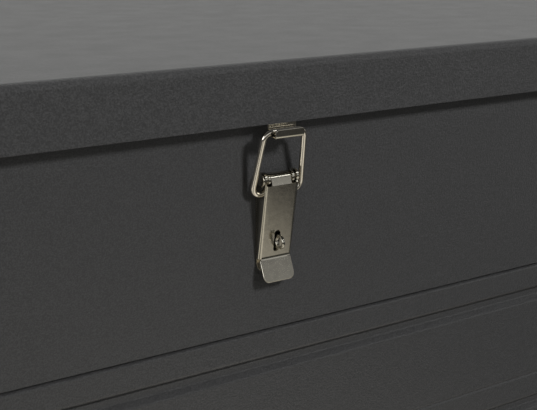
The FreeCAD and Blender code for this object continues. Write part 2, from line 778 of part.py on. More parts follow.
def latch_keeper():
    """Hook strip welded inside the lid's skirt, turned up in front of the skirt."""
    ledge = KEEPER_SHEET - HOOK_DROP
    mouth_y = -HOOK_BACK
    lip_y = -HOOK_BACK - HOOK_MOUTH
    path = [(mouth_y, KEEPER_RISE), (mouth_y, ledge), (lip_y, ledge), (lip_y, -LIP_DROP)]
    hook = prism_x(sheet_outline(path, KEEPER_SHEET), mirrored_ends(KEEPER_WIDTH / 2))
    along = Vector(1, 0, 0)
    hook = round_edges(hook, KEEPER_BEND + KEEPER_SHEET, along, lambda at: near(at.z, -HOOK_DROP))
    hook = round_edges(hook, KEEPER_BEND, along, lambda at: near(at.z, ledge))
    hook = round_edges(hook, LIP_CORNER, Vector(0, 1, 0), lambda at: near(at.z, -LIP_DROP))
    return place_latch(hook)


def ear_radius():
    """Radius of the base's ears, which turn clear of the web's top edge in the lever's slots."""
    tangent, foot, _ = lever_line()
    tilt = math.radians(LEVER_TILT_DEGREES)
    normal = left_normal(tangent, foot)
    along = (LEVER_SHOULDER * math.sin(tilt), -LEVER_SHOULDER * math.cos(tilt))
    corners = [(tangent[0] + along[0] + side * LEVER_SHEET * normal[0],
                tangent[1] + along[1] + side * LEVER_SHEET * normal[1]) for side in (-1, 1)]
    return min(math.dist(corner, latch_pivot()) for corner in corners) - EAR_PLAY


def latch_base():
    """Base plate with two ears for the lever's pin and an eye for a padlock."""
    pivot = latch_pivot()
    foot = pivot[1] - BASE_LENGTH
    base = block(mirrored_ends(BASE_WIDTH / 2), (-BASE_SHEET, 0), (foot, pivot[1]))
    base = round_edges(base, BASE_CORNER, Vector(0, 1, 0), lambda at: near(at.z, foot))
    ear_near = ROLL_WIDTH / 2 + EAR_GAP
    radius = ear_radius()
    for side in (-1, 1):
        x_ends = side_ends(side, ear_near, ear_near + EAR_SHEET)
        ear = bar_x(radius, pivot, x_ends)
        ear = ear.fuse(block(x_ends, (pivot[0], 0), (pivot[1] - radius, pivot[1])))
        base = base.fuse(ear)
    eye_ends = mirrored_ends(EYE_SHEET / 2)
    eye = bar_x(EYE_R, (-EYE_OUT, -EYE_DROP), eye_ends)
    eye = eye.fuse(block(eye_ends, (-EYE_OUT, 0), (-EYE_DROP - EYE_R, EYE_R - EYE_DROP)))
    base = base.fuse(eye).removeSplitter()
    through = mirrored_ends(BASE_WIDTH)
    drills = [bar_x(EYE_HOLE_R, (-EYE_OUT, -EYE_DROP), through),
              bar_x(LATCH_PIN_R + RUNNING_FIT, pivot, through)]
    for seat in latch_rivet_seats():
        drills.append(rivet_hole(seat - Vector(0, 0, SKIRT_Z), OUTWARD, BASE_SHEET, LATCH_RIVET_R))
    return place_latch(base.cut(drills))


def lever_line():
    """Front line of the lever in Y and Z: the roll's tangent point, the web's foot and the tab's tip."""
    tilt = math.radians(LEVER_TILT_DEGREES)
    flare = math.radians(TAB_FLARE_DEGREES)
    pivot = latch_pivot()
    tangent = (pivot[0] - ROLL_R * math.cos(tilt), pivot[1] - ROLL_R * math.sin(tilt))
    foot = (tangent[0] + LEVER_LENGTH * math.sin(tilt), tangent[1] - LEVER_LENGTH * math.cos(tilt))
    tip = (foot[0] - TAB_LENGTH * math.sin(flare), foot[1] - TAB_LENGTH * math.cos(flare))
    return [tangent, foot, tip]


def lever_sheet(width):
    """Bent sheet of the lever's web and tab, all of one width."""
    return prism_x(sheet_outline(lever_line(), LEVER_SHEET), mirrored_ends(width / 2))


def below_web():
    """Space in front of the wall below the web's foot."""
    _, foot, tip = lever_line()
    return block(mirrored_ends(LEVER_WIDTH), (tip[0] - OVERRUN, 0), (tip[1] - OVERRUN, foot[1]))


def lever_flange(side):
    """Side flange of the lever, from the roll down to the web's foot."""
    tangent, foot, _ = lever_line()
    pivot = latch_pivot()
    half = LEVER_WIDTH / 2
    outline = [tangent, foot, (-FLANGE_FOOT, foot[1]),
               (-FLANGE_FOOT, -BAIL_PIVOT_DROP), (pivot[0] + ROLL_R, pivot[1]), pivot]
    return prism_x(outline, side_ends(side, half - LEVER_SHEET, half))


def lever_web():
    """Web with its side flanges, rounded along both bends and narrowed to a tongue below the roll."""
    tangent, foot, _ = lever_line()
    half = LEVER_WIDTH / 2
    web = lever_sheet(LEVER_WIDTH).cut(below_web())
    for side in (-1, 1):
        web = web.fuse(lever_flange(side))
    normal = left_normal(tangent, foot)
    bend = min(LEVER_BEND, (-FLANGE_FOOT - foot[0]) * BEND_SHARE)

    def on_bend(at):
        return near(abs(at.x), half) and near((at.y - foot[0]) * normal[0] + (at.z - foot[1]) * normal[1], 0)

    web = round_edges(web.removeSplitter(), bend, Vector(0, normal[1], -normal[0]), on_bend)
    shoulder = tangent[1] - LEVER_SHOULDER
    for side in (-1, 1):
        x_cut = side_ends(side, ROLL_WIDTH / 2, half - LEVER_SHEET)
        web = web.cut(block(x_cut, (tangent[0] - OVERRUN, 0), (shoulder, tangent[1] + OVERRUN)))
    return web


def lever_tab():
    """Flared finger tab with rounded corners."""
    line = lever_line()
    tab = lever_sheet(TAB_WIDTH).common(below_web())
    through = Vector(0, *left_normal(line[1], line[2]))
    tip_edge = line[2][1] + LEVER_SHEET
    half = TAB_WIDTH / 2
    return round_edges(tab, TAB_CORNER, through, lambda at: at.z < tip_edge and near(abs(at.x), half))


def latch_lever():
    """Lever: a slotted web with side flanges, rolled round its pin, and a flared finger tab."""
    pivot = latch_pivot()
    half = LEVER_WIDTH / 2
    lever = lever_web().fuse(lever_tab()).fuse(bar_x(ROLL_R, pivot, mirrored_ends(ROLL_WIDTH / 2)))
    for side in (-1, 1):
        lever = lever.fuse(bar_x(ROLL_R, pivot, side_ends(side, half - LEVER_SHEET, half)))
    reach = (SLOT_LENGTH - SLOT_WIDTH) / 2
    slot_y_ends = (-EYE_OUT - EYE_R, 0)
    slot = block(mirrored_ends(SLOT_WIDTH / 2), slot_y_ends, (-EYE_DROP - reach, reach - EYE_DROP))
    for end in (-1, 1):
        z = -EYE_DROP + end * reach
        slot = slot.fuse(bar(SLOT_WIDTH / 2, Vector(0, slot_y_ends[0], z), Vector(0, 0, z)))
    through = mirrored_ends(LEVER_WIDTH)
    drills = [slot, bar_x(LATCH_PIN_R + RUNNING_FIT, pivot, through),
              bar_x(WIRE_R + RUNNING_FIT, bail_pivot(), through)]
    return place_latch(lever.cut(drills).removeSplitter())


def latch_bail():
    """Wire loop from the lever's flanges over the hook."""
    foot_half = BAIL_FOOT_WIDTH / 2 - WIRE_R
    top_half = BAIL_TOP_WIDTH / 2 - WIRE_R
    end_half = LEVER_WIDTH / 2 - LEVER_SHEET - BAIL_STUB_IN
    low = bail_pivot()
    high = (-WIRE_OUT, KEEPER_SHEET + WIRE_R + WIRE_PLAY - HOOK_DROP)
    points = [Vector(-end_half, *low), Vector(-foot_half, *low), Vector(-top_half, *high),
              Vector(top_half, *high), Vector(foot_half, *low), Vector(end_half, *low)]
    return place_latch(wire_bar(points, BAIL_BEND, WIRE_R))


def latch_pin():
    """Pin of the lever, riveted over at both ends."""
    half = LEVER_WIDTH / 2 + LATCH_SIDE_GAP
    place = latch_pivot()
    pin = bar_x(LATCH_PIN_R, place, mirrored_ends(half))
    for side in (-1, 1):
        seat = Vector(side * half, *place)
        pin = pin.fuse(domed_head(LATCH_PIN_HEAD_R, LATCH_PIN_HEAD, seat, Vector(side, 0, 0)))
    return place_latch(pin.removeSplitter())


def latch_rivets():
    """Rivets that hold the latch's base to the front wall."""
    grip = BASE_SHEET + WALL_SHEET
    shapes = [rivet(seat, OUTWARD, grip, LATCH_RIVET_R, LATCH_RIVET_HEAD_R, LATCH_RIVET_HEAD)
              for seat in latch_rivet_seats()]
    return Part.makeCompound([on_wall(shape, "front") for shape in shapes])


# Lid stays

def from_wall(sign, near_end, far_end):
    """Ends in X of a span measured inwards from one side wall's outer face."""
    wall = BODY_WIDTH / 2
    return side_ends(sign, wall - near_end, wall - far_end)


def stay_arm(sign):
    """Slotted arm that hangs from the lid and runs on a stud."""
    pivot, stud = stay_places()
    closed = math.dist(pivot, stud)
    run = ((stud[0] - pivot[0]) / closed, (stud[1] - pivot[1]) / closed)
    last = closed + stay_slot_length()
    x_ends = from_wall(sign, STAY_STAND_OFF, STAY_STAND_OFF + STAY_SHEET)

    def along(distance):
        return pivot[0] + run[0] * distance, pivot[1] + run[1] * distance

    arm = strip_x(pivot, along(last), STAY_WIDTH / 2, x_ends)
    slot_r = STAY_PIN_R + STAY_SLOT_PLAY
    slot = strip_x(along(closed), along(last), slot_r, from_wall(sign, 0, BODY_WIDTH / 2))
    hole = bar_x(STAY_PIN_R + RUNNING_FIT, pivot, from_wall(sign, 0, BODY_WIDTH / 2))
    return arm.cut([slot, hole])


def stay_stud(sign):
    """Headed stud on the side wall that runs in the arm's slot."""
    stud = stay_places()[1]
    inner = STAY_STAND_OFF - STAY_GAP
    neck = STAY_STAND_OFF + STAY_SHEET + STAY_GAP
    post = bar_x(STUD_POST_R, stud, from_wall(sign, WALL_SHEET, inner))
    post = post.fuse(bar_x(STAY_PIN_R, stud, from_wall(sign, 0, neck)))
    post = post.fuse(bar_x(STUD_HEAD_R, stud, from_wall(sign, neck, neck + STUD_HEAD)))
    seat = Vector(sign * BODY_WIDTH / 2, *stud)
    return post.fuse(domed_head(RIVET_HEAD_R, RIVET_HEAD, seat, Vector(sign, 0, 0))).removeSplitter()


def stay_bracket(sign):
    """Angle under the lid that carries the arm's pivot."""
    pivot = stay_places()[0]
    near_end = STAY_STAND_OFF + STAY_SHEET + STAY_GAP
    x_ends = from_wall(sign, near_end, near_end + BRACKET_SHEET)
    plate = bar_x(BRACKET_R, pivot, x_ends)
    plate = plate.fuse(block(x_ends, (pivot[0] - BRACKET_R, pivot[0] + BRACKET_R), (pivot[1], LID_UNDER)))
    foot = block(from_wall(sign, near_end, near_end + BRACKET_FOOT),
                 (pivot[0] - BRACKET_FOOT_WIDTH / 2, pivot[0] + BRACKET_FOOT_WIDTH / 2),
                 (LID_UNDER - BRACKET_SHEET, LID_UNDER))
    hole = bar_x(STAY_PIN_R + RUNNING_FIT, pivot, from_wall(sign, 0, BODY_WIDTH / 2))
    return plate.fuse(foot).removeSplitter().cut(hole)


def stay_pin(sign):
    """Pivot rivet through the arm and its bracket."""
    pivot = stay_places()[0]
    near_end = STAY_STAND_OFF - STAY_GAP
    far_end = STAY_STAND_OFF + STAY_SHEET + STAY_GAP + BRACKET_SHEET
    pin = bar_x(STAY_PIN_R, pivot, from_wall(sign, near_end, far_end))
    wall = BODY_WIDTH / 2
    for place, way in ((near_end, 1), (far_end, -1)):
        seat = Vector(sign * (wall - place), *pivot)
        pin = pin.fuse(domed_head(STAY_PIN_HEAD_R, STAY_PIN_HEAD, seat, Vector(way * sign, 0, 0)))
    return pin.removeSplitter()


# Drop handles, modelled on a front wall in the plane of Y = 0

def handle_pivot():
    """Place of a handle's axis in Y and Z."""
    return -HANDLE_OUT, SKIRT_Z - HANDLE_DROP


def handle_bracket(sign):
    """Plate with two bushes for the ends of the handle's bar."""
    y, z = handle_pivot()
    inner, outer = bush_ends()
    plate = block(mirrored_ends(outer + PLATE_MARGIN), (-PLATE_SHEET, 0),
                  (z - PLATE_HEIGHT / 2, z + PLATE_HEIGHT / 2))
    plate = round_edges(plate, PLATE_CORNER, Vector(0, 1, 0), lambda at: True)
    for side in (-1, 1):
        x_ends = side_ends(side, inner, outer)
        plate = plate.fuse(bar_x(BUSH_R, (y, z), x_ends))
        plate = plate.fuse(block(x_ends, (y, 0), (z - BUSH_R, z + BUSH_R)))
    drills = [rivet_hole(seat, OUTWARD, PLATE_SHEET) for seat in handle_rivet_seats()]
    drills.append(bar_x(HANDLE_WIRE_R + RUNNING_FIT, (y, z), mirrored_ends(HANDLE_SPAN)))
    return on_wall(plate.removeSplitter().cut(drills), side_wall(sign))


def handle_bar(sign):
    """Bent bar that hangs from the bracket."""
    y, z = handle_pivot()
    half = HANDLE_SPAN / 2
    end = bush_ends()[0] - HANDLE_STUB_IN
    low = z - HANDLE_REACH
    points = [Vector(-end, y, z), Vector(-half, y, z), Vector(-half, y, low),
              Vector(half, y, low), Vector(half, y, z), Vector(end, y, z)]
    return on_wall(wire_bar(points, HANDLE_BEND, HANDLE_WIRE_R), side_wall(sign))


def handle_grip(sign):
    """Round rubber sleeve on the handle's bar."""
    y, z = handle_pivot()
    place = (y, z - HANDLE_REACH)
    half = HANDLE_SPAN / 2 - HANDLE_BEND - GRIP_END_GAP
    grip = bar_x(GRIP_R, place, mirrored_ends(half))
    grip = grip.makeFillet(GRIP_ROUND, [edge for edge in grip.Edges if edge.Closed])
    grip = grip.cut(bar_x(HANDLE_WIRE_R + RUNNING_FIT, place, mirrored_ends(half + OVERRUN)))
    return on_wall(grip, side_wall(sign))


def handle_rivets():
    """Rivets that hold both handles to the side walls."""
    grip = PLATE_SHEET + WALL_SHEET
    shapes = [on_wall(rivet(seat, OUTWARD, grip), side)
              for side in ("left", "right") for seat in handle_rivet_seats()]
    return Part.makeCompound(shapes)


def all_nodes():
    """Every node's name and shape."""
    nodes = {}
    for side in WALL_PLACES:
        nodes[side + "_upper_panel"] = upper_panel(side)
        nodes[side + "_lower_panel"] = lower_panel(side)
    for corner in CORNER_PLACES:
        nodes[corner + "_post"] = corner_post(corner)
    nodes["corner_bolts"] = corner_fasteners(bolt)
    nodes["corner_nuts"] = corner_fasteners(nut)
    nodes["floor_panel"] = floor_panel()
    nodes["skid_bolts"] = skid_fasteners(bolt)
    nodes["skid_nuts"] = skid_fasteners(nut)
    nodes["lid_shell"] = lid_shell()
    nodes["lid_seal"] = lid_seal()
    for name, x in HINGE_PLACES.items():
        nodes[name + "_hinge_body_leaf"] = hinge_body_leaf(x)
        nodes[name + "_hinge_lid_leaf"] = hinge_lid_leaf(x)
        nodes[name + "_hinge_pin"] = hinge_pin(x)
    nodes["hinge_body_rivets"] = hinge_body_rivets()
    nodes["hinge_lid_rivets"] = hinge_lid_rivets()
    nodes["latch_keeper"] = latch_keeper()
    nodes["latch_base"] = latch_base()
    nodes["latch_lever"] = latch_lever()
    nodes["latch_bail"] = latch_bail()
    nodes["latch_pin"] = latch_pin()
    nodes["latch_rivets"] = latch_rivets()
    for name, sign in (("left", -1), ("right", 1)):
        nodes[name + "_skid"] = skid(sign)
        nodes[name + "_lid_rib"] = lid_rib(sign)
        nodes[name + "_stay_arm"] = stay_arm(sign)
        nodes[name + "_stay_stud"] = stay_stud(sign)
        nodes[name + "_stay_bracket"] = stay_bracket(sign)
        nodes[name + "_stay_pin"] = stay_pin(sign)
        nodes[name + "_handle_bracket"] = handle_bracket(sign)
        nodes[name + "_handle_bar"] = handle_bar(sign)
        nodes[name + "_handle_grip"] = handle_grip(sign)
    nodes["handle_rivets"] = handle_rivets()
    return nodes


def main():
    """Write one STEP file for each node."""
    os.makedirs("parts", exist_ok=True)
    for name, shape in all_nodes().items():
        shape.exportStep(os.path.join("parts", name + ".step"))
        print(name, len(shape.Solids), shape.isValid(), round(shape.Volume))


main()
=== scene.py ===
"""Jobsite storage box: the looks of a powder coated sheet steel chest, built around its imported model."""

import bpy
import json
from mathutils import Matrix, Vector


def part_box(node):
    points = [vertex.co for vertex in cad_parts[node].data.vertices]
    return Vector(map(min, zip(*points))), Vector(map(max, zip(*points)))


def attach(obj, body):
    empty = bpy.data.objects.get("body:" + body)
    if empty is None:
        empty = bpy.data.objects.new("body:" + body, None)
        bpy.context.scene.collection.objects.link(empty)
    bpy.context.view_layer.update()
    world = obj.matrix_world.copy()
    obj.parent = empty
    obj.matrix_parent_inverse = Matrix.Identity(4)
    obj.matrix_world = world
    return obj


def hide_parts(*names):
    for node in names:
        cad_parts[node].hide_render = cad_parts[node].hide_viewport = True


bl_info = {
    "name": "Jobsite storage box",
    "version": (1, 0, 0),
    "blender": (4, 5, 0),
    "location": "3D View > Sidebar > Storage Box",
    "description": "Models and dresses a sheet steel storage box with a draw latch",
    "category": "Object",
}

import json
import math

import bmesh
import bpy
from bpy.props import FloatProperty, FloatVectorProperty, PointerProperty
from mathutils import Euler, Vector

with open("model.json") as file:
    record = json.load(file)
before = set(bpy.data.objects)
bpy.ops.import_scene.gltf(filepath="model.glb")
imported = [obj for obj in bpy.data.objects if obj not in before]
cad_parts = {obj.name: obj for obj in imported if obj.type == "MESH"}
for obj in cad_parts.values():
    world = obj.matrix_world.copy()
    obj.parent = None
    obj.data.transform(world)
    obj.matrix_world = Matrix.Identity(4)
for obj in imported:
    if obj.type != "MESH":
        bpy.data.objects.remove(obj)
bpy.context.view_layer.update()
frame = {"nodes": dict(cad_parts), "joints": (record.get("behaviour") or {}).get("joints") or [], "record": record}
JOINTS = {joint["name"]: Vector(joint.get("pos_m", (0, 0, 0))) for joint in frame["joints"]}

# Ways from left to right, from front to back, and up
ACROSS = Vector((1, 0, 0))
ALONG = Vector((0, 1, 0))
UP = Vector((0, 0, 1))

# Places read from the frame, in metres
LID_LOW, LID_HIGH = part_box("lid_shell")
WALL_LOW, WALL_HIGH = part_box("front_upper_panel")
SKIRT_Z = LID_LOW.z
FRONT_Y = WALL_LOW.y
SEAM_Z = WALL_LOW.z
RIM_Z = WALL_HIGH.z
SKID_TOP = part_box("front_lower_panel")[0].z

# Walls
WALL_SHEET = 0.001
WALL_BEND = 0.0013
VALLEY_BEND = 0.0008
GROOVE_BEND = 0.0022
RIM_BEND = 0.0020
RIM_FLANGE = 0.018
RIM_NOTCH = 0.0125
MODULE_COUNT = 5
MODULE_HEIGHT = (SEAM_Z - SKID_TOP) / MODULE_COUNT
GROOVE_DROP = 0.0152
GROOVE_HEIGHT = 0.0090
GROOVE_DEPTH = 0.0036
GROOVE_SLOPE = 0.0026
CREASE_HALF = 0.0010
CREASE_DEPTH = 0.0010
LAP = 0.015
LAP_DEPTH = 0.0024
SEAM_GAP = 0.0012
JOGGLE_RUN = 0.0006

# Posts, floor and skids
POST_SHEET = 0.0015
POST_LEG = 0.035
POST_BEND = 0.003
SKID_SHEET = 0.002
SKID_WEB = 0.070
SKID_BEND = 0.004
ANCHOR_R = 0.0055
ANCHOR_SPACING = 0.380

# Lid
LID_SHEET = 0.001
LID_BEND = 0.004
LID_CORNER = 0.006
RIB_WIDTH = 0.050
RIB_SLOPE = 0.008
RIB_BEND = 0.003
SEAL_WIDTH = 0.010
SEAL_ROUND = 0.0022

# Draw latch, measured outwards from the front wall and down from the skirt's lower edge
KEEPER_SHEET = 0.0012
KEEPER_BEND = 0.0017
HOOK_BACK = 0.009
HOOK_MOUTH = 0.006
HOOK_DROP = 0.0065
LIP_DROP = 0.0018
LIP_CORNER = 0.0016
WIRE_R = 0.0015
WIRE_OUT = 0.0113
WIRE_PLAY = 0.0003
BAIL_BEND = 0.0045
BAIL_FOOT_WIDTH = 0.032
BAIL_TOP_WIDTH = 0.026
BAIL_STUB_IN = 0.001
LEVER_SHEET = 0.0012
LEVER_WIDTH = 0.0195
LEVER_HALF = LEVER_WIDTH / 2
LEVER_TILT = math.radians(9)
LEVER_LENGTH = 0.041
LEVER_SHOULDER = 0.0023
LEVER_BEND = 0.0016
EAR_R = 0.0039
EAR_ROUND = 0.0038
CURL_OUT = 0.0049
CURL_DROP = 0.0284
CURL_TURN = math.radians(285)
TONGUE_WIDTH = 0.0114
TONGUE_LEAN = math.radians(18)
TONGUE_BEND = 0.0006
FLANGE_FOOT = 0.0013
TAB_FLARE = math.radians(23)
TAB_WIDTH = 0.0184
TAB_LENGTH = 0.0123
TAB_NECK = 0.0010
TAB_CORNER = 0.0035
TAB_BEND = 0.0032
SLOT_WIDTH = 0.0034
SLOT_LENGTH = 0.0114
EYE_DROP = 0.0604
EYE_R = 0.0037
EYE_FOOT = 0.0030
EYE_ROUND = 0.00068
PIN_R = 0.0020
RUNNING_FIT = 0.00005
EAR_EDGE = 0.00015

# Handles
HANDLE_WIRE_R = 0.004
HANDLE_SPAN = 0.140
HANDLE_REACH = 0.060
HANDLE_BEND = 0.010
HANDLE_END = 0.040
GRIP_R = 0.008
GRIP_HALF = 0.047
GRIP_ROUND = 0.0025
GRIP_RIB_COUNT = 11
GRIP_RIB_DEPTH = 0.0009
GRIP_RIB_SHARES = ((-0.18, 0.0), (-0.10, 0.8), (0.0, 1.0), (0.10, 0.8), (0.18, 0.0))

# Counts of facets
BEND_STEPS = 4
LID_STEPS = 8
WIRE_SIDES = 24
WIRE_STEPS = 10
CURL_STEPS = 28
CORNER_STEPS = 8
TURN_STEPS = 48
EDGE_STEPS = 2
TONGUE_STEPS = 2
FLANGE_STEPS = 6
SEAL_STEPS = 4
GRIP_STEPS = 4

# Finishes: sizes of clouds, grains and dents, depths of relief, and shares of a size or a tone
NOISE_SPAN = (0.3, 0.7)
PAINT_TONE_SPAN = (0.40, 0.64)
PAINT_ROUGH = (0.37, 0.41)
PAINT_SHEEN = 0.5
PAINT_BUMP = 0.8
PEBBLE_SHARE = 1.6
PEBBLE_SMOOTH = 0.6
PEBBLE_DEPTH_SHARE = 0.30
FINE_DEPTH_SHARE = 0.15
CLOUD_SHARE = 30
NICKEL_ROUGH = (0.12, 0.19)
WIRE_ROUGH = (0.08, 0.16)
NICKEL_CLOUD = 0.004
NICKEL_CLOUD_SHARE = 0.9
NICKEL_GRAIN = 0.0006
NICKEL_DENT = 0.0025
NICKEL_RELIEF = 0.00004
NICKEL_BUMP = 0.4
ZINC_SPANGLE = 0.006
ZINC_SPANGLE_SPAN = (0.1, 0.8)
ZINC_SPANGLE_SHARES = (0.82, 1.12)
ZINC_BRUSH = 0.0016
ZINC_STRETCH = (0.08, 1, 1)
ZINC_ROUGH = (0.28, 0.46)
ZINC_RELIEF = 0.00003
ZINC_BUMP = 0.3
RUBBER_BLOOM = 0.012
RUBBER_BLOOM_SPAN = (0.35, 0.75)
RUBBER_BLOOM_SHARE = 2.2
RUBBER_GRAIN = 0.0006
RUBBER_ROUGH = (0.62, 0.80)
RUBBER_RELIEF = 0.00006
RUBBER_BUMP = 0.4

# Stage
CAMERA_PLACE = Vector((-0.2956, FRONT_Y - 0.4388, SKIRT_Z + 0.0974))
CAMERA_PITCH = math.radians(90 - 14.87)
CAMERA_YAW = math.radians(-33.79)
CAMERA_SENSOR = 36.0
CAMERA_NEAR = 0.01
FLOOR_SIZE = 60.0
FLOOR_ROUGH = 0.7
FLOOR_SHEEN = 0.2
KEY_BEARING = math.radians(20)
KEY_HEIGHT = math.radians(32)
KEY_DISTANCE = 1.8
KEY_SIZE = 0.29
TOP_PLACE = Vector((-0.5, -0.3, 2.4))
TOP_SIZE = 1.6
# Floor as seen in reflections only: a painted pool of light near the box and painted darkness beyond
POOL_CENTRE = Vector((-0.35, -0.55, 0))
POOL_EDGE = (0.63, 1.01)
MIRRORED_FLOOR_PAINTED_LIGHT = (0.80, 0.76, 0.67)
MIRRORED_FLOOR_PAINTED_DARK = (0.050, 0.049, 0.046)
# Floor's tone for bounced light, and the glow it shows to the eye, stronger farther out
FLOOR_BOUNCE = (0.30, 0.297, 0.29)
FLOOR_LIFT = (0.22, 0.60)
FLOOR_LIFT_SPAN = (1.6, 6.0)
# Painted shade oval in the mirrored floor, towards the camera
SHADE_CENTRE = Vector((-0.45, -0.95, 0))
SHADE_HALVES = (0.42, 1.0)
SHADE_EDGE = (0.45, 1.0)
SHADE_SHARE = 0.30
BAND_FOOT = (-0.04, 0.04)
BAND_HEAD = (0.10, 0.57)
BAND_TURN = (-0.2, 0.45)
BAND_SIDE = (0.30, 0.75)
BAND_SIDE_SHARES = (1.20, 0.70)
FRONT_GLOW = 0.52
BACK_GLOW = 0.60
BACK_FILL = 1.15
DARK_GLOW = 0.03
PALE = 0.80
SOFTBOX_WAY = Vector((0.54, -0.60, 0.59)).normalized()
SOFTBOX_EDGE = (math.cos(math.radians(6)), math.cos(math.radians(3)))
SOFTBOX_GLOW = 3.0
SIDE_WAY = Vector((-0.96, -0.20, 0.12)).normalized()
SIDE_EDGE = (math.cos(math.radians(24)), math.cos(math.radians(14)))
SIDE_GLOW = 2.4
ROOM_TONE = (1.0, 1.0, 0.98, 1)

# Lengths, angles and weights that only guide the tools
TINY = 0.00001
MERGE_GAP = TINY / 10
SLIVER = TINY / 2
WIRE_SLACK = 0.00024
OVERRUN = 0.004
SHARP = math.radians(40)
FLAT = math.radians(0.6)
FACING = 0.5
NORMAL_WEIGHT = 60

# Half a turn, in quarter turns
HALF_TURN = 2

BOX_NODES = frame["nodes"]
FINISH_OF_SLOT = {"dark_powder_paint": "charcoal_powder_coat", "nickel_plate": "satin_nickel",
                  "zinc_plate": "brushed_zinc", "black_rubber": "moulded_rubber"}


# Settings that a user would change, and what their colours share

COLOUR = {"subtype": "COLOR", "size": 3, "min": 0, "max": 1}


class BoxFinishes(bpy.types.PropertyGroup):
    """Colours and grain of the box's finishes."""
    paint: FloatVectorProperty(
        name="Powder paint", description="Colour of the dark powder coat",
        default=(0.025, 0.025, 0.0253), **COLOUR)
    paint_speck: FloatVectorProperty(
        name="Paint speck", description="Lighter tone between the grains of the powder coat",
        default=(0.040, 0.040, 0.0405), **COLOUR)
    nickel: FloatVectorProperty(
        name="Nickel plate", description="Colour of the polished latch",
        default=(0.60, 0.57, 0.495), **COLOUR)
    wire: FloatVectorProperty(
        name="Bright wire", description="Colour of the latch's polished wire bail",
        default=(0.88, 0.83, 0.74), **COLOUR)
    zinc: FloatVectorProperty(
        name="Zinc plate", description="Colour of the hinges, handles, bolts and stays",
        default=(0.56, 0.57, 0.58), **COLOUR)
    rubber: FloatVectorProperty(
        name="Rubber", description="Colour of the grips and the seal",
        default=(0.018, 0.018, 0.019), **COLOUR)
    grain: FloatProperty(
        name="Paint grain", description="Size of the powder coat's grain", unit="LENGTH",
        default=0.0007, min=0.0002, max=0.01)


class BoxSizes(bpy.types.PropertyGroup):
    """Roundings of the box's sheet metal."""
    sheet_edge: FloatProperty(
        name="Sheet edge", description="Rounding of the painted sheets' cut edges", unit="LENGTH",
        default=0.00025, min=0.00005, max=0.0004)
    plated_edge: FloatProperty(
        name="Plated edge", description="Rounding of the latch's and hardware's edges", unit="LENGTH",
        default=0.00045, min=0.00005, max=0.00055)


class BoxStage(bpy.types.PropertyGroup):
    """Floor, lights and camera."""
    floor: FloatVectorProperty(
        name="Floor", description="Colour of the floor",
        default=(0.45, 0.447, 0.441), **COLOUR)
    key_power: FloatProperty(
        name="Key light", description="Power of the soft light in front, to the right", unit="POWER",
        default=38.0, min=0)
    top_power: FloatProperty(
        name="Top light", description="Power of the soft light overhead", unit="POWER", default=16.0, min=0)
    lens: FloatProperty(
        name="Lens", description="Focal length of the camera on a sensor 36 mm wide", unit="CAMERA",
        default=73.74, min=10)


# Edit mode

def start(name, add, **sizes):
    """Add a primitive at the origin, name it and enter edit mode with all of it selected."""
    bpy.ops.object.select_all(action="DESELECT")
    add(location=(0, 0, 0), **sizes)
    piece = bpy.context.object
    piece.name = piece.data.name = name
    bpy.ops.object.mode_set(mode="EDIT")
    bpy.ops.mesh.select_mode(type="VERT")
    select_all()
    return piece


def select_all():
    """Select everything in edit mode."""
    bpy.ops.mesh.select_all(action="SELECT")


def enter():
    """Enter edit mode with everything selected."""
    bpy.ops.object.mode_set(mode="EDIT")
    select_all()


def pick(piece, kind, test):
    """Select only the vertices, edges or faces that pass a test."""
    bpy.ops.mesh.select_mode(type=kind)
    bpy.ops.mesh.select_all(action="DESELECT")
    mesh = bmesh.from_edit_mesh(piece.data)
    for part in {"VERT": mesh.verts, "EDGE": mesh.edges, "FACE": mesh.faces}[kind]:
        part.select_set(test(part))
    bmesh.update_edit_mesh(piece.data)


def whole(test, sharp=False):
    """Test of an edge, or only of a sharp one, by the places of both its ends."""
    def passes(link):
        bent = not sharp or link.calc_face_angle(0) > SHARP
        return bent and all(test(vertex.co) for vertex in link.verts)

    return passes


def close(first, second):
    """True where two lengths agree."""
    return abs(first - second) < TINY


def shift(value):
    """Move what is selected."""
    bpy.ops.transform.translate(value=value)


def draw_row(points):
    """Collapse a new primitive to one point and draw a row of edges from it."""
    bpy.ops.mesh.merge(type="CENTER")
    shift(points[0])
    for before, after in zip(points, points[1:]):
        bpy.ops.mesh.extrude_vertices_move(TRANSFORM_OT_translate={"value": after - before})


def pull(travel):
    """Extrude what is selected along a straight way."""
    bpy.ops.mesh.extrude_region_move(TRANSFORM_OT_translate={"value": travel})


def round_off(piece, width, steps, test, kind="EDGE"):
    """Round the edges or vertices that pass a test."""
    pick(piece, kind, test)
    affect = {"EDGE": "EDGES", "VERT": "VERTICES"}[kind]
    bpy.ops.mesh.bevel(offset=width, segments=steps, profile=0.5, affect=affect)


def close_up():
    """Merge doubled vertices and turn every face outwards."""
    select_all()
    bpy.ops.mesh.remove_doubles(threshold=TINY)
    bpy.ops.mesh.normals_make_consistent(inside=False)


def settle(piece, place, turned):
    """Turn and move a piece, then apply both."""
    piece.rotation_euler = turned
    piece.location = place
    bpy.ops.object.transform_apply(location=True, rotation=True, scale=True)


def round_bends(piece, points, travel, bends):
    """Round the bends of a pulled row of edges, each to its own radius on the outer face."""
    for before, corner, after, radius in zip(points, points[1:], points[2:], bends[1:]):
        turn = (corner - before).angle(after - corner)
        place = corner + travel / 2
        round_off(piece, radius * math.tan(turn / 2), BEND_STEPS,
                  lambda edge: ((edge.verts[0].co + edge.verts[1].co) / 2 - place).length < TINY)


def make_sheet(piece, outward, sheet):
    """Turn a surface so that the face that shows most from outside faces out, and thicken it inwards."""
    select_all()
    bpy.ops.mesh.normals_make_consistent(inside=False)
    mesh = bmesh.from_edit_mesh(piece.data)
    best = max(mesh.faces, key=lambda face: abs(face.normal.dot(outward)) * face.calc_area())
    if best.normal.dot(outward) < 0:
        bpy.ops.mesh.flip_normals()
    leave(piece)
    apply_modifier(piece, "SOLIDIFY", thickness=sheet, offset=-1, use_even_offset=True)


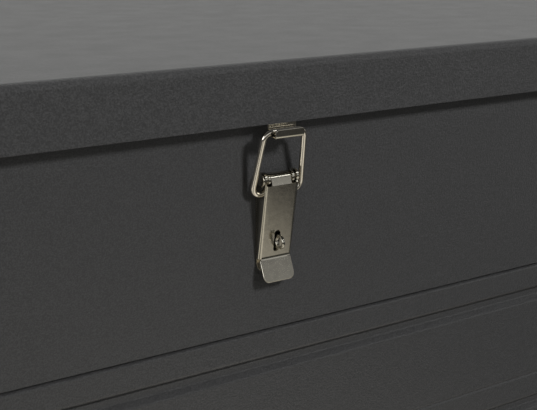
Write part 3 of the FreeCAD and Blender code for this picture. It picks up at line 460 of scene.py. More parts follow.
def apply_modifier(piece, kind, **values):
    """Add a modifier, set it and apply it."""
    bpy.context.view_layer.objects.active = piece
    modifier = piece.modifiers.new(kind.title(), kind)
    for key, value in values.items():
        setattr(modifier, key, value)
    bpy.ops.object.modifier_apply(modifier=modifier.name)


def hold(piece):
    """Make a piece the only selected one."""
    bpy.ops.object.select_all(action="DESELECT")
    piece.select_set(True)
    bpy.context.view_layer.objects.active = piece


def leave(piece):
    """Leave edit mode with only this piece selected."""
    bpy.ops.object.mode_set(mode="OBJECT")
    hold(piece)


def soften(piece, width):
    """Round a closed piece's sharp edges, set its shading and return it."""
    if width:
        apply_modifier(piece, "BEVEL", width=width, segments=EDGE_STEPS, limit_method="ANGLE",
                       angle_limit=SHARP, use_clamp_overlap=True)
    bpy.ops.object.shade_smooth_by_angle(angle=SHARP)
    apply_modifier(piece, "WEIGHTED_NORMAL", mode="FACE_AREA_WITH_ANGLE", weight=NORMAL_WEIGHT,
                   keep_sharp=True)
    return piece


def drill(piece, cutters):
    """Cut shapes out of a piece."""
    for cutter in cutters:
        leave(piece)
        apply_modifier(piece, "BOOLEAN", operation="DIFFERENCE", solver="EXACT", object=cutter)
        bpy.data.objects.remove(cutter)
    hold(piece)
    enter()
    bpy.ops.mesh.dissolve_degenerate(threshold=SLIVER)
    leave(piece)


def folded_sheet(name, points, travel, outward, sheet, bends, edge, notch=None, trim=None):
    """Sheet bent along a row of points and pulled straight, notched before bending or trimmed after."""
    piece = start(name, bpy.ops.mesh.primitive_plane_add)
    draw_row(points)
    select_all()
    pull(travel)
    if notch:
        notch(piece)
    round_bends(piece, points, travel, bends)
    if trim:
        trim(piece)
    make_sheet(piece, outward, sheet)
    return soften(piece, edge)


def bent_wire(name, points, bend, radius):
    """Round wire drawn through points: straight pulls joined by spun bends."""
    run = (points[1] - points[0]).normalized()
    turned = UP.rotation_difference(run).to_euler()
    piece = start(name, bpy.ops.mesh.primitive_circle_add, vertices=WIRE_SIDES, radius=radius,
                  fill_type="NGON")
    leave(piece)
    settle(piece, points[0], turned)
    enter()
    here = points[0]
    for before, corner, after in zip(points, points[1:], points[2:]):
        into = (corner - before).normalized()
        out = (after - corner).normalized()
        turn = into.angle(out)
        setback = bend * math.tan(turn / 2)
        entry = corner - into * setback
        axis = into.cross(out).normalized()
        pull(entry - here)
        spin_bend(piece, turn, entry + axis.cross(into) * bend, axis, corner + out * setback)
        here = corner + out * setback
    pull(points[-1] - here)
    close_up()
    leave(piece)
    return soften(piece, 0)


def spin_bend(piece, turn, hub, axis, target):
    """Spin the selected end round a bend and make sure that it reaches its target."""
    bpy.ops.mesh.spin(steps=WIRE_STEPS, angle=-turn, center=hub, axis=axis)
    places = [vertex.co for vertex in bmesh.from_edit_mesh(piece.data).verts if vertex.select]
    if (sum(places, Vector()) / len(places) - target).length > WIRE_SLACK:
        raise RuntimeError("A wire's bend was spun the wrong way")


def lathe(name, outline, origin, along, across):
    """Closed outline of distance and radius, spun once round an axis."""
    points = [origin + along * distance + across * radius for distance, radius in outline]
    piece = start(name, bpy.ops.mesh.primitive_plane_add)
    draw_row(points + points[:1])
    select_all()
    bpy.ops.mesh.spin(steps=TURN_STEPS, angle=2 * math.pi, center=origin, axis=along)
    close_up()
    leave(piece)
    return soften(piece, 0)


def box_piece(name, low, high):
    """Cube primitive stretched between two corners, in edit mode."""
    piece = start(name, bpy.ops.mesh.primitive_cube_add, size=1)
    bpy.ops.transform.resize(value=high - low)
    shift((low + high) / 2)
    return piece


def rod_cutter(name, radius, place, length, turned):
    """Round cutter of a length about its middle."""
    piece = start(name, bpy.ops.mesh.primitive_cylinder_add, vertices=TURN_STEPS, radius=radius, depth=length)
    leave(piece)
    settle(piece, place, turned)
    return piece


def merged_copy(node):
    """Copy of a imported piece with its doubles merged, in edit mode."""
    piece = bpy.data.objects.new(node + "_rounded", BOX_NODES[node].data.copy())
    bpy.context.scene.collection.objects.link(piece)
    hold(piece)
    enter()
    bpy.ops.mesh.remove_doubles(threshold=MERGE_GAP)
    bpy.ops.mesh.dissolve_limited(angle_limit=FLAT)
    return piece


def rounded_copy(node, width):
    """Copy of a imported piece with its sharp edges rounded."""
    piece = merged_copy(node)
    leave(piece)
    return soften(piece, width)


def centre(node):
    """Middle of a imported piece's box."""
    low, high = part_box(node)
    return (low + high) / 2


def placed_copy(piece, name, source, target, quarter_turns):
    """Copy of a piece with its own mesh, turned about the upright axis from one packed place to another."""
    hold(piece)
    bpy.ops.object.duplicate(linked=False)
    copy = bpy.context.object
    copy.name = copy.data.name = name
    turned = Euler((0, 0, quarter_turns * math.pi / 2))
    start_place = centre(source)
    start_place.rotate(turned)
    settle(copy, centre(target) - start_place, turned)
    return copy


# Materials

class Nodes:
    """Nodes of one tree, with what the finishes and the room share."""

    def put(self, value, socket):
        """Number, tone or another node's output put into a socket."""
        if isinstance(value, bpy.types.NodeSocket):
            self.tree.links.new(value, socket)
        else:
            socket.default_value = value

    def node(self, kind, sockets=None, **values):
        """New node with its properties set and its sockets filled."""
        made = self.tree.nodes.new(kind)
        for key, value in values.items():
            setattr(made, key, value)
        for name, value in (sockets or {}).items():
            self.put(value, made.inputs[name])
        return made

    def join(self, operation, first, second):
        """Two values added or multiplied."""
        return self.node("ShaderNodeMath", {0: first, 1: second}, operation=operation).outputs["Value"]

    def spread(self, value, low, high, begin, end, kind="LINEAR"):
        """Value mapped from one span to another."""
        sockets = {"Value": value, "From Min": begin, "From Max": end, "To Min": low, "To Max": high}
        return self.node("ShaderNodeMapRange", sockets, interpolation_type=kind).outputs["Result"]

    def mix(self, share, first, second, kind="FLOAT"):
        """Value or colour between two others."""
        sockets = {"Factor": share, "A": first, "B": second}
        return self.node("ShaderNodeMix", sockets, data_type=kind).outputs["Result"]


class NodeTree(Nodes):
    """Nodes of one material around its shader."""

    def __init__(self, name):
        self.material = bpy.data.materials.new(name)
        self.material.use_nodes = True
        self.tree = self.material.node_tree
        self.shader = self.tree.nodes["Principled BSDF"]
        self.place = self.node("ShaderNodeTexCoord").outputs["Object"]

    def feed(self, name, value):
        """Fill one of the shader's sockets."""
        self.put(value, self.shader.inputs[name])

    def noise(self, size, detail=2.0, stretch=None):
        """Noise whose grains have a size in metres."""
        place = self.place
        if stretch:
            place = self.node("ShaderNodeMapping", {"Vector": place, "Scale": stretch}).outputs["Vector"]
        sockets = {"Vector": place, "Scale": 1 / size, "Detail": detail}
        return self.node("ShaderNodeTexNoise", sockets).outputs["Fac"]

    def cells(self, size):
        """Distance to the nearest of scattered points, for pebbled grain."""
        sockets = {"Vector": self.place, "Scale": 1 / size, "Smoothness": PEBBLE_SMOOTH}
        return self.node("ShaderNodeTexVoronoi", sockets, feature="SMOOTH_F1").outputs["Distance"]

    def blend(self, share, first, second):
        """Colour between two tones."""
        return self.mix(share, (*first, 1), (*second, 1), "RGBA")

    def oval(self, place, turn=0, halves=(1, 1)):
        """Distance from an oval's middle in its own measure, 1 at its rim."""
        sockets = {"Vector": self.place, "Location": place, "Rotation": (0, 0, turn), "Scale": (*halves, 1)}
        mapping = self.node("ShaderNodeMapping", sockets, vector_type="TEXTURE")
        length = self.node("ShaderNodeVectorMath", {0: mapping.outputs["Vector"]}, operation="LENGTH")
        return length.outputs["Value"]

    def bump(self, height, depth, strength, below=None):
        """Surface relief of a depth in metres, on top of another."""
        sockets = {"Strength": strength, "Distance": depth, "Height": height}
        if below:
            sockets["Normal"] = below
        return self.node("ShaderNodeBump", sockets).outputs["Normal"]


def tint(colour, share):
    """Colour scaled lighter or darker."""
    return tuple(min(1.0, part * share) for part in colour)


def powder_paint(name, colour, speck, grain):
    """Dark powder coat: pebbled grain with lighter specks and a dull sheen."""
    made = NodeTree(name)
    fine = made.noise(grain, detail=1.5)
    pebbles = made.cells(grain * PEBBLE_SHARE)
    made.feed("Base Color", made.blend(made.spread(fine, 0, 1, *PAINT_TONE_SPAN), colour, speck))
    rough = made.noise(grain * CLOUD_SHARE, detail=3)
    made.feed("Roughness", made.spread(rough, *PAINT_ROUGH, *NOISE_SPAN))
    peel = made.bump(pebbles, grain * PEBBLE_DEPTH_SHARE, PAINT_BUMP)
    made.feed("Normal", made.bump(fine, grain * FINE_DEPTH_SHARE, PAINT_BUMP, peel))
    made.feed("Specular IOR Level", PAINT_SHEEN)


def nickel_plate(name, colour, rough):
    """Nickel over steel, clouded and faintly dented, its grains between two roughnesses."""
    made = NodeTree(name)
    cloud = made.spread(made.noise(NICKEL_CLOUD, detail=3), 0, 1, *NOISE_SPAN)
    made.feed("Base Color", made.blend(cloud, colour, tint(colour, NICKEL_CLOUD_SHARE)))
    made.feed("Roughness", made.spread(made.noise(NICKEL_GRAIN), *rough, *NOISE_SPAN))
    dents = made.noise(NICKEL_DENT, detail=1)
    made.feed("Normal", made.bump(dents, NICKEL_RELIEF, NICKEL_BUMP))
    made.feed("Metallic", 1.0)


def zinc_plate(name, colour):
    """Bright zinc with cloudy spangle and a brushed grain."""
    made = NodeTree(name)
    spangle = made.spread(made.cells(ZINC_SPANGLE), 0, 1, *ZINC_SPANGLE_SPAN)
    dull, bright = (tint(colour, share) for share in ZINC_SPANGLE_SHARES)
    made.feed("Base Color", made.blend(spangle, dull, bright))
    brushed = made.noise(ZINC_BRUSH, detail=3, stretch=ZINC_STRETCH)
    made.feed("Roughness", made.spread(brushed, *ZINC_ROUGH, *NOISE_SPAN))
    made.feed("Normal", made.bump(brushed, ZINC_RELIEF, ZINC_BUMP))
    made.feed("Metallic", 1.0)


def black_rubber(name, colour):
    """Moulded black rubber with a chalky bloom."""
    made = NodeTree(name)
    bloom = made.spread(made.noise(RUBBER_BLOOM, detail=4), 0, 1, *RUBBER_BLOOM_SPAN)
    made.feed("Base Color", made.blend(bloom, colour, tint(colour, RUBBER_BLOOM_SHARE)))
    fine = made.noise(RUBBER_GRAIN)
    made.feed("Roughness", made.spread(fine, *RUBBER_ROUGH, *NOISE_SPAN))
    made.feed("Normal", made.bump(fine, RUBBER_RELIEF, RUBBER_BUMP))


def slot_of(node):
    """Record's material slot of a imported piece."""
    return next(part["material_slot"] for part in frame["record"]["subparts"] if part["node"] == node)


def body_of(node):
    """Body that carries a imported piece."""
    bodies = frame["record"]["behaviour"]["bodies"]
    return next(body for body, members in bodies.items() if node in members)


def coat(piece, finish):
    """Put a finish on a piece."""
    piece.data.materials.clear()
    piece.data.materials.append(bpy.data.materials[finish])


def stand_for(piece, node, finish=None):
    """Let a piece take a packed one's place, body and finish."""
    slot = slot_of(node)
    coat(piece, finish or FINISH_OF_SLOT[slot])
    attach(piece, body_of(node))
    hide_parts(node)


def stand_copies(piece, node, copies):
    """Let a piece stand for a packed one, and placed copies of it for others."""
    made = [(placed_copy(piece, name, node, far, turns), far) for name, far, turns in copies]
    for item, place in [(piece, node)] + made:
        stand_for(item, place)


# Walls

def wall_frame(side):
    """Outer face's start, run and inward way of the front or right wall, left end first."""
    low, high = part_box(side + "_lower_panel")
    return {
        "front": (Vector((low.x, low.y, 0)), ACROSS * (high.x - low.x), ALONG),
        "right": (Vector((high.x, low.y, 0)), ALONG * (high.y - low.y), -ACROSS),
    }[side]


def on_wall(side, path):
    """Points of depth and height placed at the start of one wall."""
    begin, _, inward = wall_frame(side)
    return [begin + inward * depth + UP * height for depth, height, *_ in path]


def lower_panel_path():
    """Outer line of a lower panel with each point's bend: a joggled top, then a groove in each module."""
    path = [(LAP_DEPTH, SEAM_Z + LAP, 0), (LAP_DEPTH, SEAM_Z - SEAM_GAP, VALLEY_BEND),
            (0, SEAM_Z - SEAM_GAP - JOGGLE_RUN, WALL_BEND)]
    for index in range(MODULE_COUNT):
        top = SEAM_Z - index * MODULE_HEIGHT
        if index:
            path += [(0, top + CREASE_HALF, WALL_BEND), (CREASE_DEPTH, top, VALLEY_BEND),
                     (0, top - CREASE_HALF, WALL_BEND)]
        head = top - GROOVE_DROP
        foot = head - GROOVE_HEIGHT
        path += [(0, head, GROOVE_BEND), (GROOVE_DEPTH, head - GROOVE_SLOPE, WALL_BEND)]
        path += [(GROOVE_DEPTH, foot + GROOVE_SLOPE, WALL_BEND), (0, foot, WALL_BEND)]
    return path + [(0, SKID_TOP, 0)]


def lower_panel(side, edge):
    """Ribbed lower sheet that tucks behind the upper one."""
    _, run, inward = wall_frame(side)
    path = lower_panel_path()
    bends = [bend for _, _, bend in path]
    return folded_sheet(side + "_ribbed_sheet", on_wall(side, path), run, -inward, WALL_SHEET, bends, edge)


def upper_panel(side, edge):
    """Flat upper sheet with a flange turned in at the rim, notched on the side walls."""
    _, run, inward = wall_frame(side)
    points = on_wall(side, [(RIM_FLANGE, RIM_Z), (0, RIM_Z), (0, SEAM_Z)])
    notch = notch_rim if side == "right" else None
    return folded_sheet(side + "_rim_sheet", points, run, -inward, WALL_SHEET, (0, RIM_BEND, 0), edge, notch)


def notch_rim(piece):
    """Cut the right wall's rim flange short at both ends."""
    begin, run, _ = wall_frame("right")
    way = run.normalized()
    places = (begin + way * RIM_NOTCH, begin + run - way * RIM_NOTCH)
    for place in places:
        select_all()
        bpy.ops.mesh.bisect(plane_co=place, plane_no=way)
    lengths = [(place - begin).dot(way) for place in places]

    def beyond(face):
        along = (face.calc_center_median() - begin).dot(way)
        return abs(face.normal.z) > FACING and not lengths[0] < along < lengths[1]

    pick(piece, "FACE", beyond)
    bpy.ops.mesh.delete(type="FACE")


class BOX_OT_walls(bpy.types.Operator):
    """Fold the upper and lower sheets of the four walls"""
    bl_idname = "storage_box.walls"
    bl_label = "Walls"

    def execute(self, context):
        edge = context.scene.storage_box_sizes.sheet_edge
        for side, far in (("front", "back"), ("right", "left")):
            for make, sheet, node in ((upper_panel, "_rim_sheet", "_upper_panel"),
                                      (lower_panel, "_ribbed_sheet", "_lower_panel")):
                stand_copies(make(side, edge), side + node, [(far + sheet, far + node, HALF_TURN)])
        return {"FINISHED"}


# Corner posts, floor and skids

def corner_post(edge):
    """Folded angle outside the front right corner."""
    low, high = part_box("front_right_post")
    corner = Vector((high.x, low.y, low.z))
    reach = POST_LEG + POST_SHEET
    points = [corner - ACROSS * reach, corner, corner + ALONG * reach]
    return folded_sheet("front_right_post_angle", points, UP * (high.z - low.z), ACROSS,
                        POST_SHEET, (0, POST_BEND, 0), edge)


class BOX_OT_posts(bpy.types.Operator):
    """Fold the four corner posts"""
    bl_idname = "storage_box.posts"
    bl_label = "Corner posts"

    def execute(self, context):
        edge = context.scene.storage_box_sizes.sheet_edge
        corners = ("back_right_post", "back_left_post", "front_left_post")
        copies = [(corner + "_angle", corner, turns) for turns, corner in enumerate(corners, 1)]
        stand_copies(corner_post(edge), "front_right_post", copies)
        return {"FINISHED"}


def channel(name, node, rows, outward, sheet, bend, edge):
    """Sheet folded along rows of width and height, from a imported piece's front to its back."""
    low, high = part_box(node)
    points = [Vector((x, low.y, z)) for x, z in rows]
    return folded_sheet(name, points, ALONG * (high.y - low.y), outward, sheet, [bend] * len(points), edge)


def skid(edge):
    """Left skid: a hat channel from front to back, with holes for anchor bolts."""
    low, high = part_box("left_skid")
    mid = centre("left_skid")
    half = SKID_WEB / 2 + SKID_SHEET
    top = high.z - SKID_SHEET
    rows = [(low.x, top), (mid.x - half, top), (mid.x - half, low.z), (mid.x + half, low.z),
            (mid.x + half, top), (high.x, top)]
    piece = channel("left_skid_channel", "left_skid", rows, -UP, SKID_SHEET, SKID_BEND, edge)
    cutters = [rod_cutter("anchor_cutter", ANCHOR_R, Vector((mid.x, mid.y + end * ANCHOR_SPACING / 2, low.z)),
                          OVERRUN * 2, (0, 0, 0)) for end in (-1, 1)]
    drill(piece, cutters)
    return soften(piece, 0)


class BOX_OT_skids(bpy.types.Operator):
    """Fold the two skids and round the floor tray's edges"""
    bl_idname = "storage_box.skids"
    bl_label = "Skids and floor"

    def execute(self, context):
        edge = context.scene.storage_box_sizes.sheet_edge
        stand_copies(skid(edge), "left_skid", [("right_skid_channel", "right_skid", 0)])
        stand_for(rounded_copy("floor_panel", edge), "floor_panel")
        return {"FINISHED"}


# Lid

def lid_shell(edge):
    """Lid pan: a box without its floor, rounded at its corners and round its top."""
    piece = box_piece("lid_pan", LID_LOW, LID_HIGH)
    pick(piece, "FACE", lambda face: face.normal.z < -FACING)
    bpy.ops.mesh.delete(type="FACE")
    round_off(piece, LID_CORNER, LID_STEPS, lambda link: abs(link.verts[0].co.z - link.verts[1].co.z) > TINY)
    round_off(piece, LID_BEND, LID_STEPS, whole(lambda place: close(place.z, LID_HIGH.z)))
    make_sheet(piece, UP, LID_SHEET)
    return soften(piece, edge)


def lid_rib(edge):
    """Left hat rib under the lid, from front to back."""
    low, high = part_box("left_lid_rib")
    mid = centre("left_lid_rib").x
    half = RIB_WIDTH / 2
    rows = [(low.x, high.z), (mid - half, high.z), (mid - half + RIB_SLOPE, low.z + LID_SHEET),
            (mid + half - RIB_SLOPE, low.z + LID_SHEET), (mid + half, high.z), (high.x, high.z)]
    return channel("left_hat_rib", "left_lid_rib", rows, UP, LID_SHEET, RIB_BEND, edge)


class BOX_OT_lid(bpy.types.Operator):
    """Fold the lid and its two ribs"""
    bl_idname = "storage_box.lid"
    bl_label = "Lid"

    def execute(self, context):
        edge = context.scene.storage_box_sizes.sheet_edge
        stand_for(lid_shell(edge), "lid_shell")
        stand_copies(lid_rib(edge), "left_lid_rib", [("right_hat_rib", "right_lid_rib", 0)])
        return {"FINISHED"}


def seal_strip():
    """Rubber strip all round the rim, with a rounded crown."""
    low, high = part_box("lid_seal")
    piece = start("rim_seal", bpy.ops.mesh.primitive_plane_add, size=1)
    bpy.ops.transform.resize(value=(high.x - low.x, high.y - low.y, 1))
    shift(((low.x + high.x) / 2, (low.y + high.y) / 2, low.z))
    bpy.ops.mesh.inset(thickness=SEAL_WIDTH)
    bpy.ops.mesh.delete(type="FACE")
    select_all()
    pull(UP * (high.z - low.z))
    close_up()
    at_top = whole(lambda place: close(place.z, high.z))

    def rim(link):
        return at_top(link) and len({face.normal.z > FACING for face in link.link_faces}) == 2

    round_off(piece, SEAL_ROUND, SEAL_STEPS, rim)
    leave(piece)
    return soften(piece, 0)


class BOX_OT_seal(bpy.types.Operator):
    """Lay the rubber seal on the rim"""
    bl_idname = "storage_box.seal"
    bl_label = "Seal"

    def execute(self, context):
        stand_for(seal_strip(), "lid_seal")
        return {"FINISHED"}


# Draw latch

def latch_point(x, out, drop):
    """Point beside the latch, measured from the front wall and the skirt's lower edge."""
    return Vector((x, FRONT_Y - out, SKIRT_Z - drop))


def keeper(edge):
    """Hook strip behind the skirt, turned up in front of it."""
    _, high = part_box("latch_keeper")
    width = high.x * 2
    back = HOOK_BACK - KEEPER_SHEET
    front = HOOK_BACK + HOOK_MOUTH + KEEPER_SHEET
    rows = [(back, SKIRT_Z - high.z), (back, HOOK_DROP), (front, HOOK_DROP), (front, LIP_DROP)]
    points = [latch_point(-width / 2, out, drop) for out, drop in rows]

    def round_lip(piece):
        round_off(piece, LIP_CORNER, CORNER_STEPS, lambda vertex: close(vertex.co.z, points[-1].z), "VERT")

    return folded_sheet("latch_hook", points, ACROSS * width, -UP, KEEPER_SHEET,
                        [KEEPER_BEND] * len(points), edge, trim=round_lip)


def bail():
    """Wire loop from the lever's flanges over the hook."""
    pivot = JOINTS["latch_bail_pivot"]
    high = latch_point(0, WIRE_OUT, HOOK_DROP - KEEPER_SHEET - WIRE_R - WIRE_PLAY)
    half = [pivot + ACROSS * (LEVER_HALF - LEVER_SHEET - BAIL_STUB_IN),
            pivot + ACROSS * (BAIL_FOOT_WIDTH / 2 - WIRE_R),
            high + ACROSS * (BAIL_TOP_WIDTH / 2 - WIRE_R)]
    mirrored = [Vector((-point.x, point.y, point.z)) for point in half]
    return bent_wire("latch_wire_bail", mirrored + half[::-1], BAIL_BEND, WIRE_R)


def lever_line():
    """Front line of the lever: the tongue's root, the web's foot and the tab's tip."""
    pivot = JOINTS["latch_lever_pivot"]
    down = Vector((0, math.sin(LEVER_TILT), -math.cos(LEVER_TILT)))
    tangent = pivot - Vector((0, EAR_R * math.cos(LEVER_TILT), EAR_R * math.sin(LEVER_TILT)))
    tip_way = Vector((0, -math.sin(TAB_FLARE), -math.cos(TAB_FLARE)))
    foot = tangent + down * LEVER_LENGTH
    return tangent + down * LEVER_SHOULDER, foot, foot + tip_way * TAB_LENGTH


def lever_channel(piece, root, foot):
    """Web in three strips with a flange at each side."""
    draw_row([root - ACROSS * LEVER_HALF, foot - ACROSS * LEVER_HALF])
    select_all()
    strip = LEVER_HALF - TONGUE_WIDTH / 2
    for width in (strip, TONGUE_WIDTH, strip):
        pull(ACROSS * width)
    for side in (-1, 1):
        pick(piece, "EDGE", whole(lambda place: close(place.x, side * LEVER_HALF)))
        pull(ALONG * LEVER_SHEET)
        bpy.ops.transform.resize(value=(1, 0, 1), center_override=(0, FRONT_Y - FLANGE_FOOT, 0))


def lever_ears(piece, root):
    """Round ears above both flanges."""
    pivot = JOINTS["latch_lever_pivot"]
    for side in (-1, 1):
        flange_top = whole(lambda place: close(place.x, side * LEVER_HALF) and close(place.z, root.z))
        pick(piece, "EDGE", flange_top)
        pull(UP * (pivot.z + EAR_R - root.z))
        pick(piece, "EDGE", flange_top)
        bpy.ops.mesh.dissolve_edges(use_verts=False)
    for way in (-1, 1):
        pick(piece, "VERT", lambda vertex: vertex.co.z > pivot.z and way * (vertex.co.y - pivot.y) > 0)
        bpy.ops.transform.resize(value=(1, 0, 1), center_override=(0, pivot.y + way * EAR_R, 0))
    round_off(piece, EAR_ROUND, CORNER_STEPS, lambda vertex: vertex.co.z > pivot.z, "VERT")


def lever_bends(piece, root, foot):
    """Rounded bends between the web and its flanges."""

    def along_bend(link):
        places = sorted((vertex.co for vertex in link.verts), key=lambda place: -place.z)
        return all(close(abs(place.x), LEVER_HALF) and close(place.y, end.y) and close(place.z, end.z)
                   for place, end in zip(places, (root, foot)))

    round_off(piece, LEVER_BEND, FLANGE_STEPS, along_bend)


def lever_tab(piece, foot, tip):
    """Finger tab with rounded corners, pulled from the web's foot."""
    flat = LEVER_HALF - LEVER_BEND
    way = (tip - foot).normalized()
    web_foot = whole(lambda place: close(place.z, foot.z) and close(place.y, foot.y)
                     and abs(place.x) < flat + TINY)
    pick(piece, "EDGE", web_foot)
    pull(way * TAB_NECK)
    bpy.ops.transform.resize(value=(TAB_WIDTH / 2 / flat, 1, 1), center_override=(0, 0, 0))
    pull(tip - foot - way * TAB_NECK)
    round_off(piece, TAB_CORNER, CORNER_STEPS,
              lambda vertex: close(vertex.co.z, tip.z) and close(abs(vertex.co.x), TAB_WIDTH / 2), "VERT")
    round_off(piece, TAB_BEND * math.tan((LEVER_TILT + TAB_FLARE) / 2), BEND_STEPS, web_foot)


def lever_curl(piece, root):
    """Tongue between the ears, leant back and curled round the pin."""
    outward = Vector((0, -math.cos(TONGUE_LEAN), math.sin(TONGUE_LEAN)))
    hub = latch_point(0, CURL_OUT, CURL_DROP)
    radius = (root - hub).dot(outward)
    tongue_root = whole(lambda place: close(place.z, root.z) and close(place.y, root.y)
                        and abs(place.x) < TONGUE_WIDTH / 2 + TINY)
    pick(piece, "EDGE", tongue_root)
    pull(hub + outward * radius - root)
    bpy.ops.mesh.spin(steps=CURL_STEPS, angle=CURL_TURN, center=hub, axis=(1, 0, 0))
    round_off(piece, TONGUE_BEND * math.tan((LEVER_TILT + TONGUE_LEAN) / 2), TONGUE_STEPS, tongue_root)


def lever(edge):
    """Lever: a slotted web with side flanges, curled round its pin, and a flared finger tab."""
    piece = start("latch_lever_plate", bpy.ops.mesh.primitive_plane_add)
    root, foot, tip = lever_line()
    lever_channel(piece, root, foot)
    lever_ears(piece, root)
    lever_bends(piece, root, foot)
    lever_tab(piece, foot, tip)
    lever_curl(piece, root)
    make_sheet(piece, -ALONG, LEVER_SHEET)
    round_rim(piece, foot, tip, edge)
    drill(piece, lever_cutters())
    return soften(piece, EAR_EDGE)


def round_rim(piece, foot, tip, edge):
    """Round the finger tab's rim on both faces."""
    neck = foot + (tip - foot).normalized() * TAB_NECK
    enter()
    round_off(piece, edge, BEND_STEPS, whole(lambda place: place.z < neck.z + TINY, sharp=True))
    leave(piece)


def lever_cutters():
    """Cutters for the eye's slot, the pin's holes and the bail's holes."""
    slot = box_piece("slot_cutter", latch_point(-SLOT_WIDTH / 2, OVERRUN * 3, EYE_DROP + SLOT_LENGTH / 2),
                     latch_point(SLOT_WIDTH / 2, 0, EYE_DROP - SLOT_LENGTH / 2))
    round_off(slot, SLOT_WIDTH / 2 - TINY, CORNER_STEPS,
              lambda link: abs(link.verts[0].co.y - link.verts[1].co.y) > TINY)
    leave(slot)
    across = (0, math.pi / 2, 0)
    pivot = JOINTS["latch_bail_pivot"]
    cutters = [slot, rod_cutter("bail_cutter", WIRE_R + RUNNING_FIT, pivot, LEVER_WIDTH * 2, across)]
    for side in (-1, 1):
        ear = JOINTS["latch_lever_pivot"] + ACROSS * (side * LEVER_HALF)
        cutters.append(rod_cutter("pin_cutter", PIN_R + RUNNING_FIT, ear, LEVER_SHEET * 3, across))
    return cutters


def latch_base(edge):
    """Base plate with its ears, and a padlock eye rounded like wire."""
    piece = merged_copy("latch_base")
    eye = latch_point(0, 0, EYE_DROP).z
    foot = FRONT_Y - EYE_FOOT
    round_off(piece, EYE_ROUND, BEND_STEPS,
              whole(lambda place: place.y < foot and abs(place.z - eye) < EYE_R + TINY, sharp=True))
    leave(piece)
    return soften(piece, edge)


class BOX_OT_latch(bpy.types.Operator):
    """Build the draw latch: hook, wire bail, lever and base"""
    bl_idname = "storage_box.latch"
    bl_label = "Draw latch"

    def execute(self, context):
        edge = context.scene.storage_box_sizes.plated_edge
        stand_for(keeper(edge), "latch_keeper")
        stand_for(bail(), "latch_bail", "bright_nickel_wire")
        stand_for(lever(edge), "latch_lever")
        stand_for(latch_base(edge), "latch_base")
        return {"FINISHED"}


# Handles

def handle_bar():
    """Left bent bar, hanging from its bracket."""
    pivot = JOINTS["left_handle_swing"]
    low = pivot - UP * HANDLE_REACH
    half = ALONG * (HANDLE_SPAN / 2)
    end = ALONG * HANDLE_END
    points = [pivot - end, pivot - half, low - half, low + half, pivot + half, pivot + end]
    return bent_wire("left_handle_bent_bar", points, HANDLE_BEND, HANDLE_WIRE_R)


def handle_grip():
    """Left ribbed rubber sleeve, turned with a groove between each pair of ribs."""
    sleeve = JOINTS["left_handle_swing"] - UP * HANDLE_REACH
    pitch = 2 * (GRIP_HALF - GRIP_ROUND * 2) / GRIP_RIB_COUNT
    shoulder = [(-GRIP_HALF, HANDLE_WIRE_R + RUNNING_FIT), (-GRIP_HALF, GRIP_R - GRIP_ROUND)]
    for step in range(1, GRIP_STEPS + 1):
        turn = step * math.pi / 2 / GRIP_STEPS
        shoulder.append((-GRIP_HALF + GRIP_ROUND * (1 - math.cos(turn)),
                         GRIP_R - GRIP_ROUND * (1 - math.sin(turn))))
    ribs = []
    for index in range(GRIP_RIB_COUNT + 1):
        place = GRIP_ROUND * 2 - GRIP_HALF + index * pitch
        ribs += [(place + step * pitch, GRIP_R - GRIP_RIB_DEPTH * depth) for step, depth in GRIP_RIB_SHARES]
    outline = shoulder + ribs + [(-distance, radius) for distance, radius in reversed(shoulder)]
    return lathe("left_ribbed_grip", outline, sleeve, ALONG, UP)


class BOX_OT_handles(bpy.types.Operator):
    """Build both drop handles: bar, ribbed grip and bracket"""
    bl_idname = "storage_box.handles"
    bl_label = "Drop handles"

    def execute(self, context):
        edge = context.scene.storage_box_sizes.plated_edge
        made = ((handle_bar(), "_handle_bent_bar", "_handle_bar"),
                (handle_grip(), "_ribbed_grip", "_handle_grip"),
                (rounded_copy("left_handle_bracket", edge), "_handle_bracket_rounded", "_handle_bracket"))
        for piece, name, node in made:
            stand_copies(piece, "left" + node, [("right" + name, "right" + node, HALF_TURN)])
        return {"FINISHED"}


# Hinges and stays

class BOX_OT_hardware(bpy.types.Operator):
    """Round the edges of the hinges, the lid stays and their brackets"""
    bl_idname = "storage_box.hardware"
    bl_label = "Hinges and stays"

    def execute(self, context):
        edge = context.scene.storage_box_sizes.plated_edge
        for leaf in ("_hinge_body_leaf", "_hinge_lid_leaf"):
            copies = [(place + leaf + "_rounded", place + leaf, 0) for place in ("middle", "right")]
            stand_copies(rounded_copy("left" + leaf, edge), "left" + leaf, copies)
        for side in ("left", "right"):
            for part in ("_stay_arm", "_stay_bracket", "_stay_stud"):
                stand_for(rounded_copy(side + part, edge), side + part)
        return {"FINISHED"}


class BOX_OT_finishes(bpy.types.Operator):
    """Make the finishes and put each slot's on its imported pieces"""
    bl_idname = "storage_box.finishes"
    bl_label = "Finishes"

    def execute(self, context):
        finishes = context.scene.storage_box_finishes
        powder_paint("charcoal_powder_coat", finishes.paint, finishes.paint_speck, finishes.grain)
        nickel_plate("satin_nickel", finishes.nickel, NICKEL_ROUGH)
        nickel_plate("bright_nickel_wire", finishes.wire, WIRE_ROUGH)
        zinc_plate("brushed_zinc", finishes.zinc)
        black_rubber("moulded_rubber", finishes.rubber)
        for node, piece in BOX_NODES.items():
            coat(piece, FINISH_OF_SLOT[slot_of(node)])
        return {"FINISHED"}


# Stage

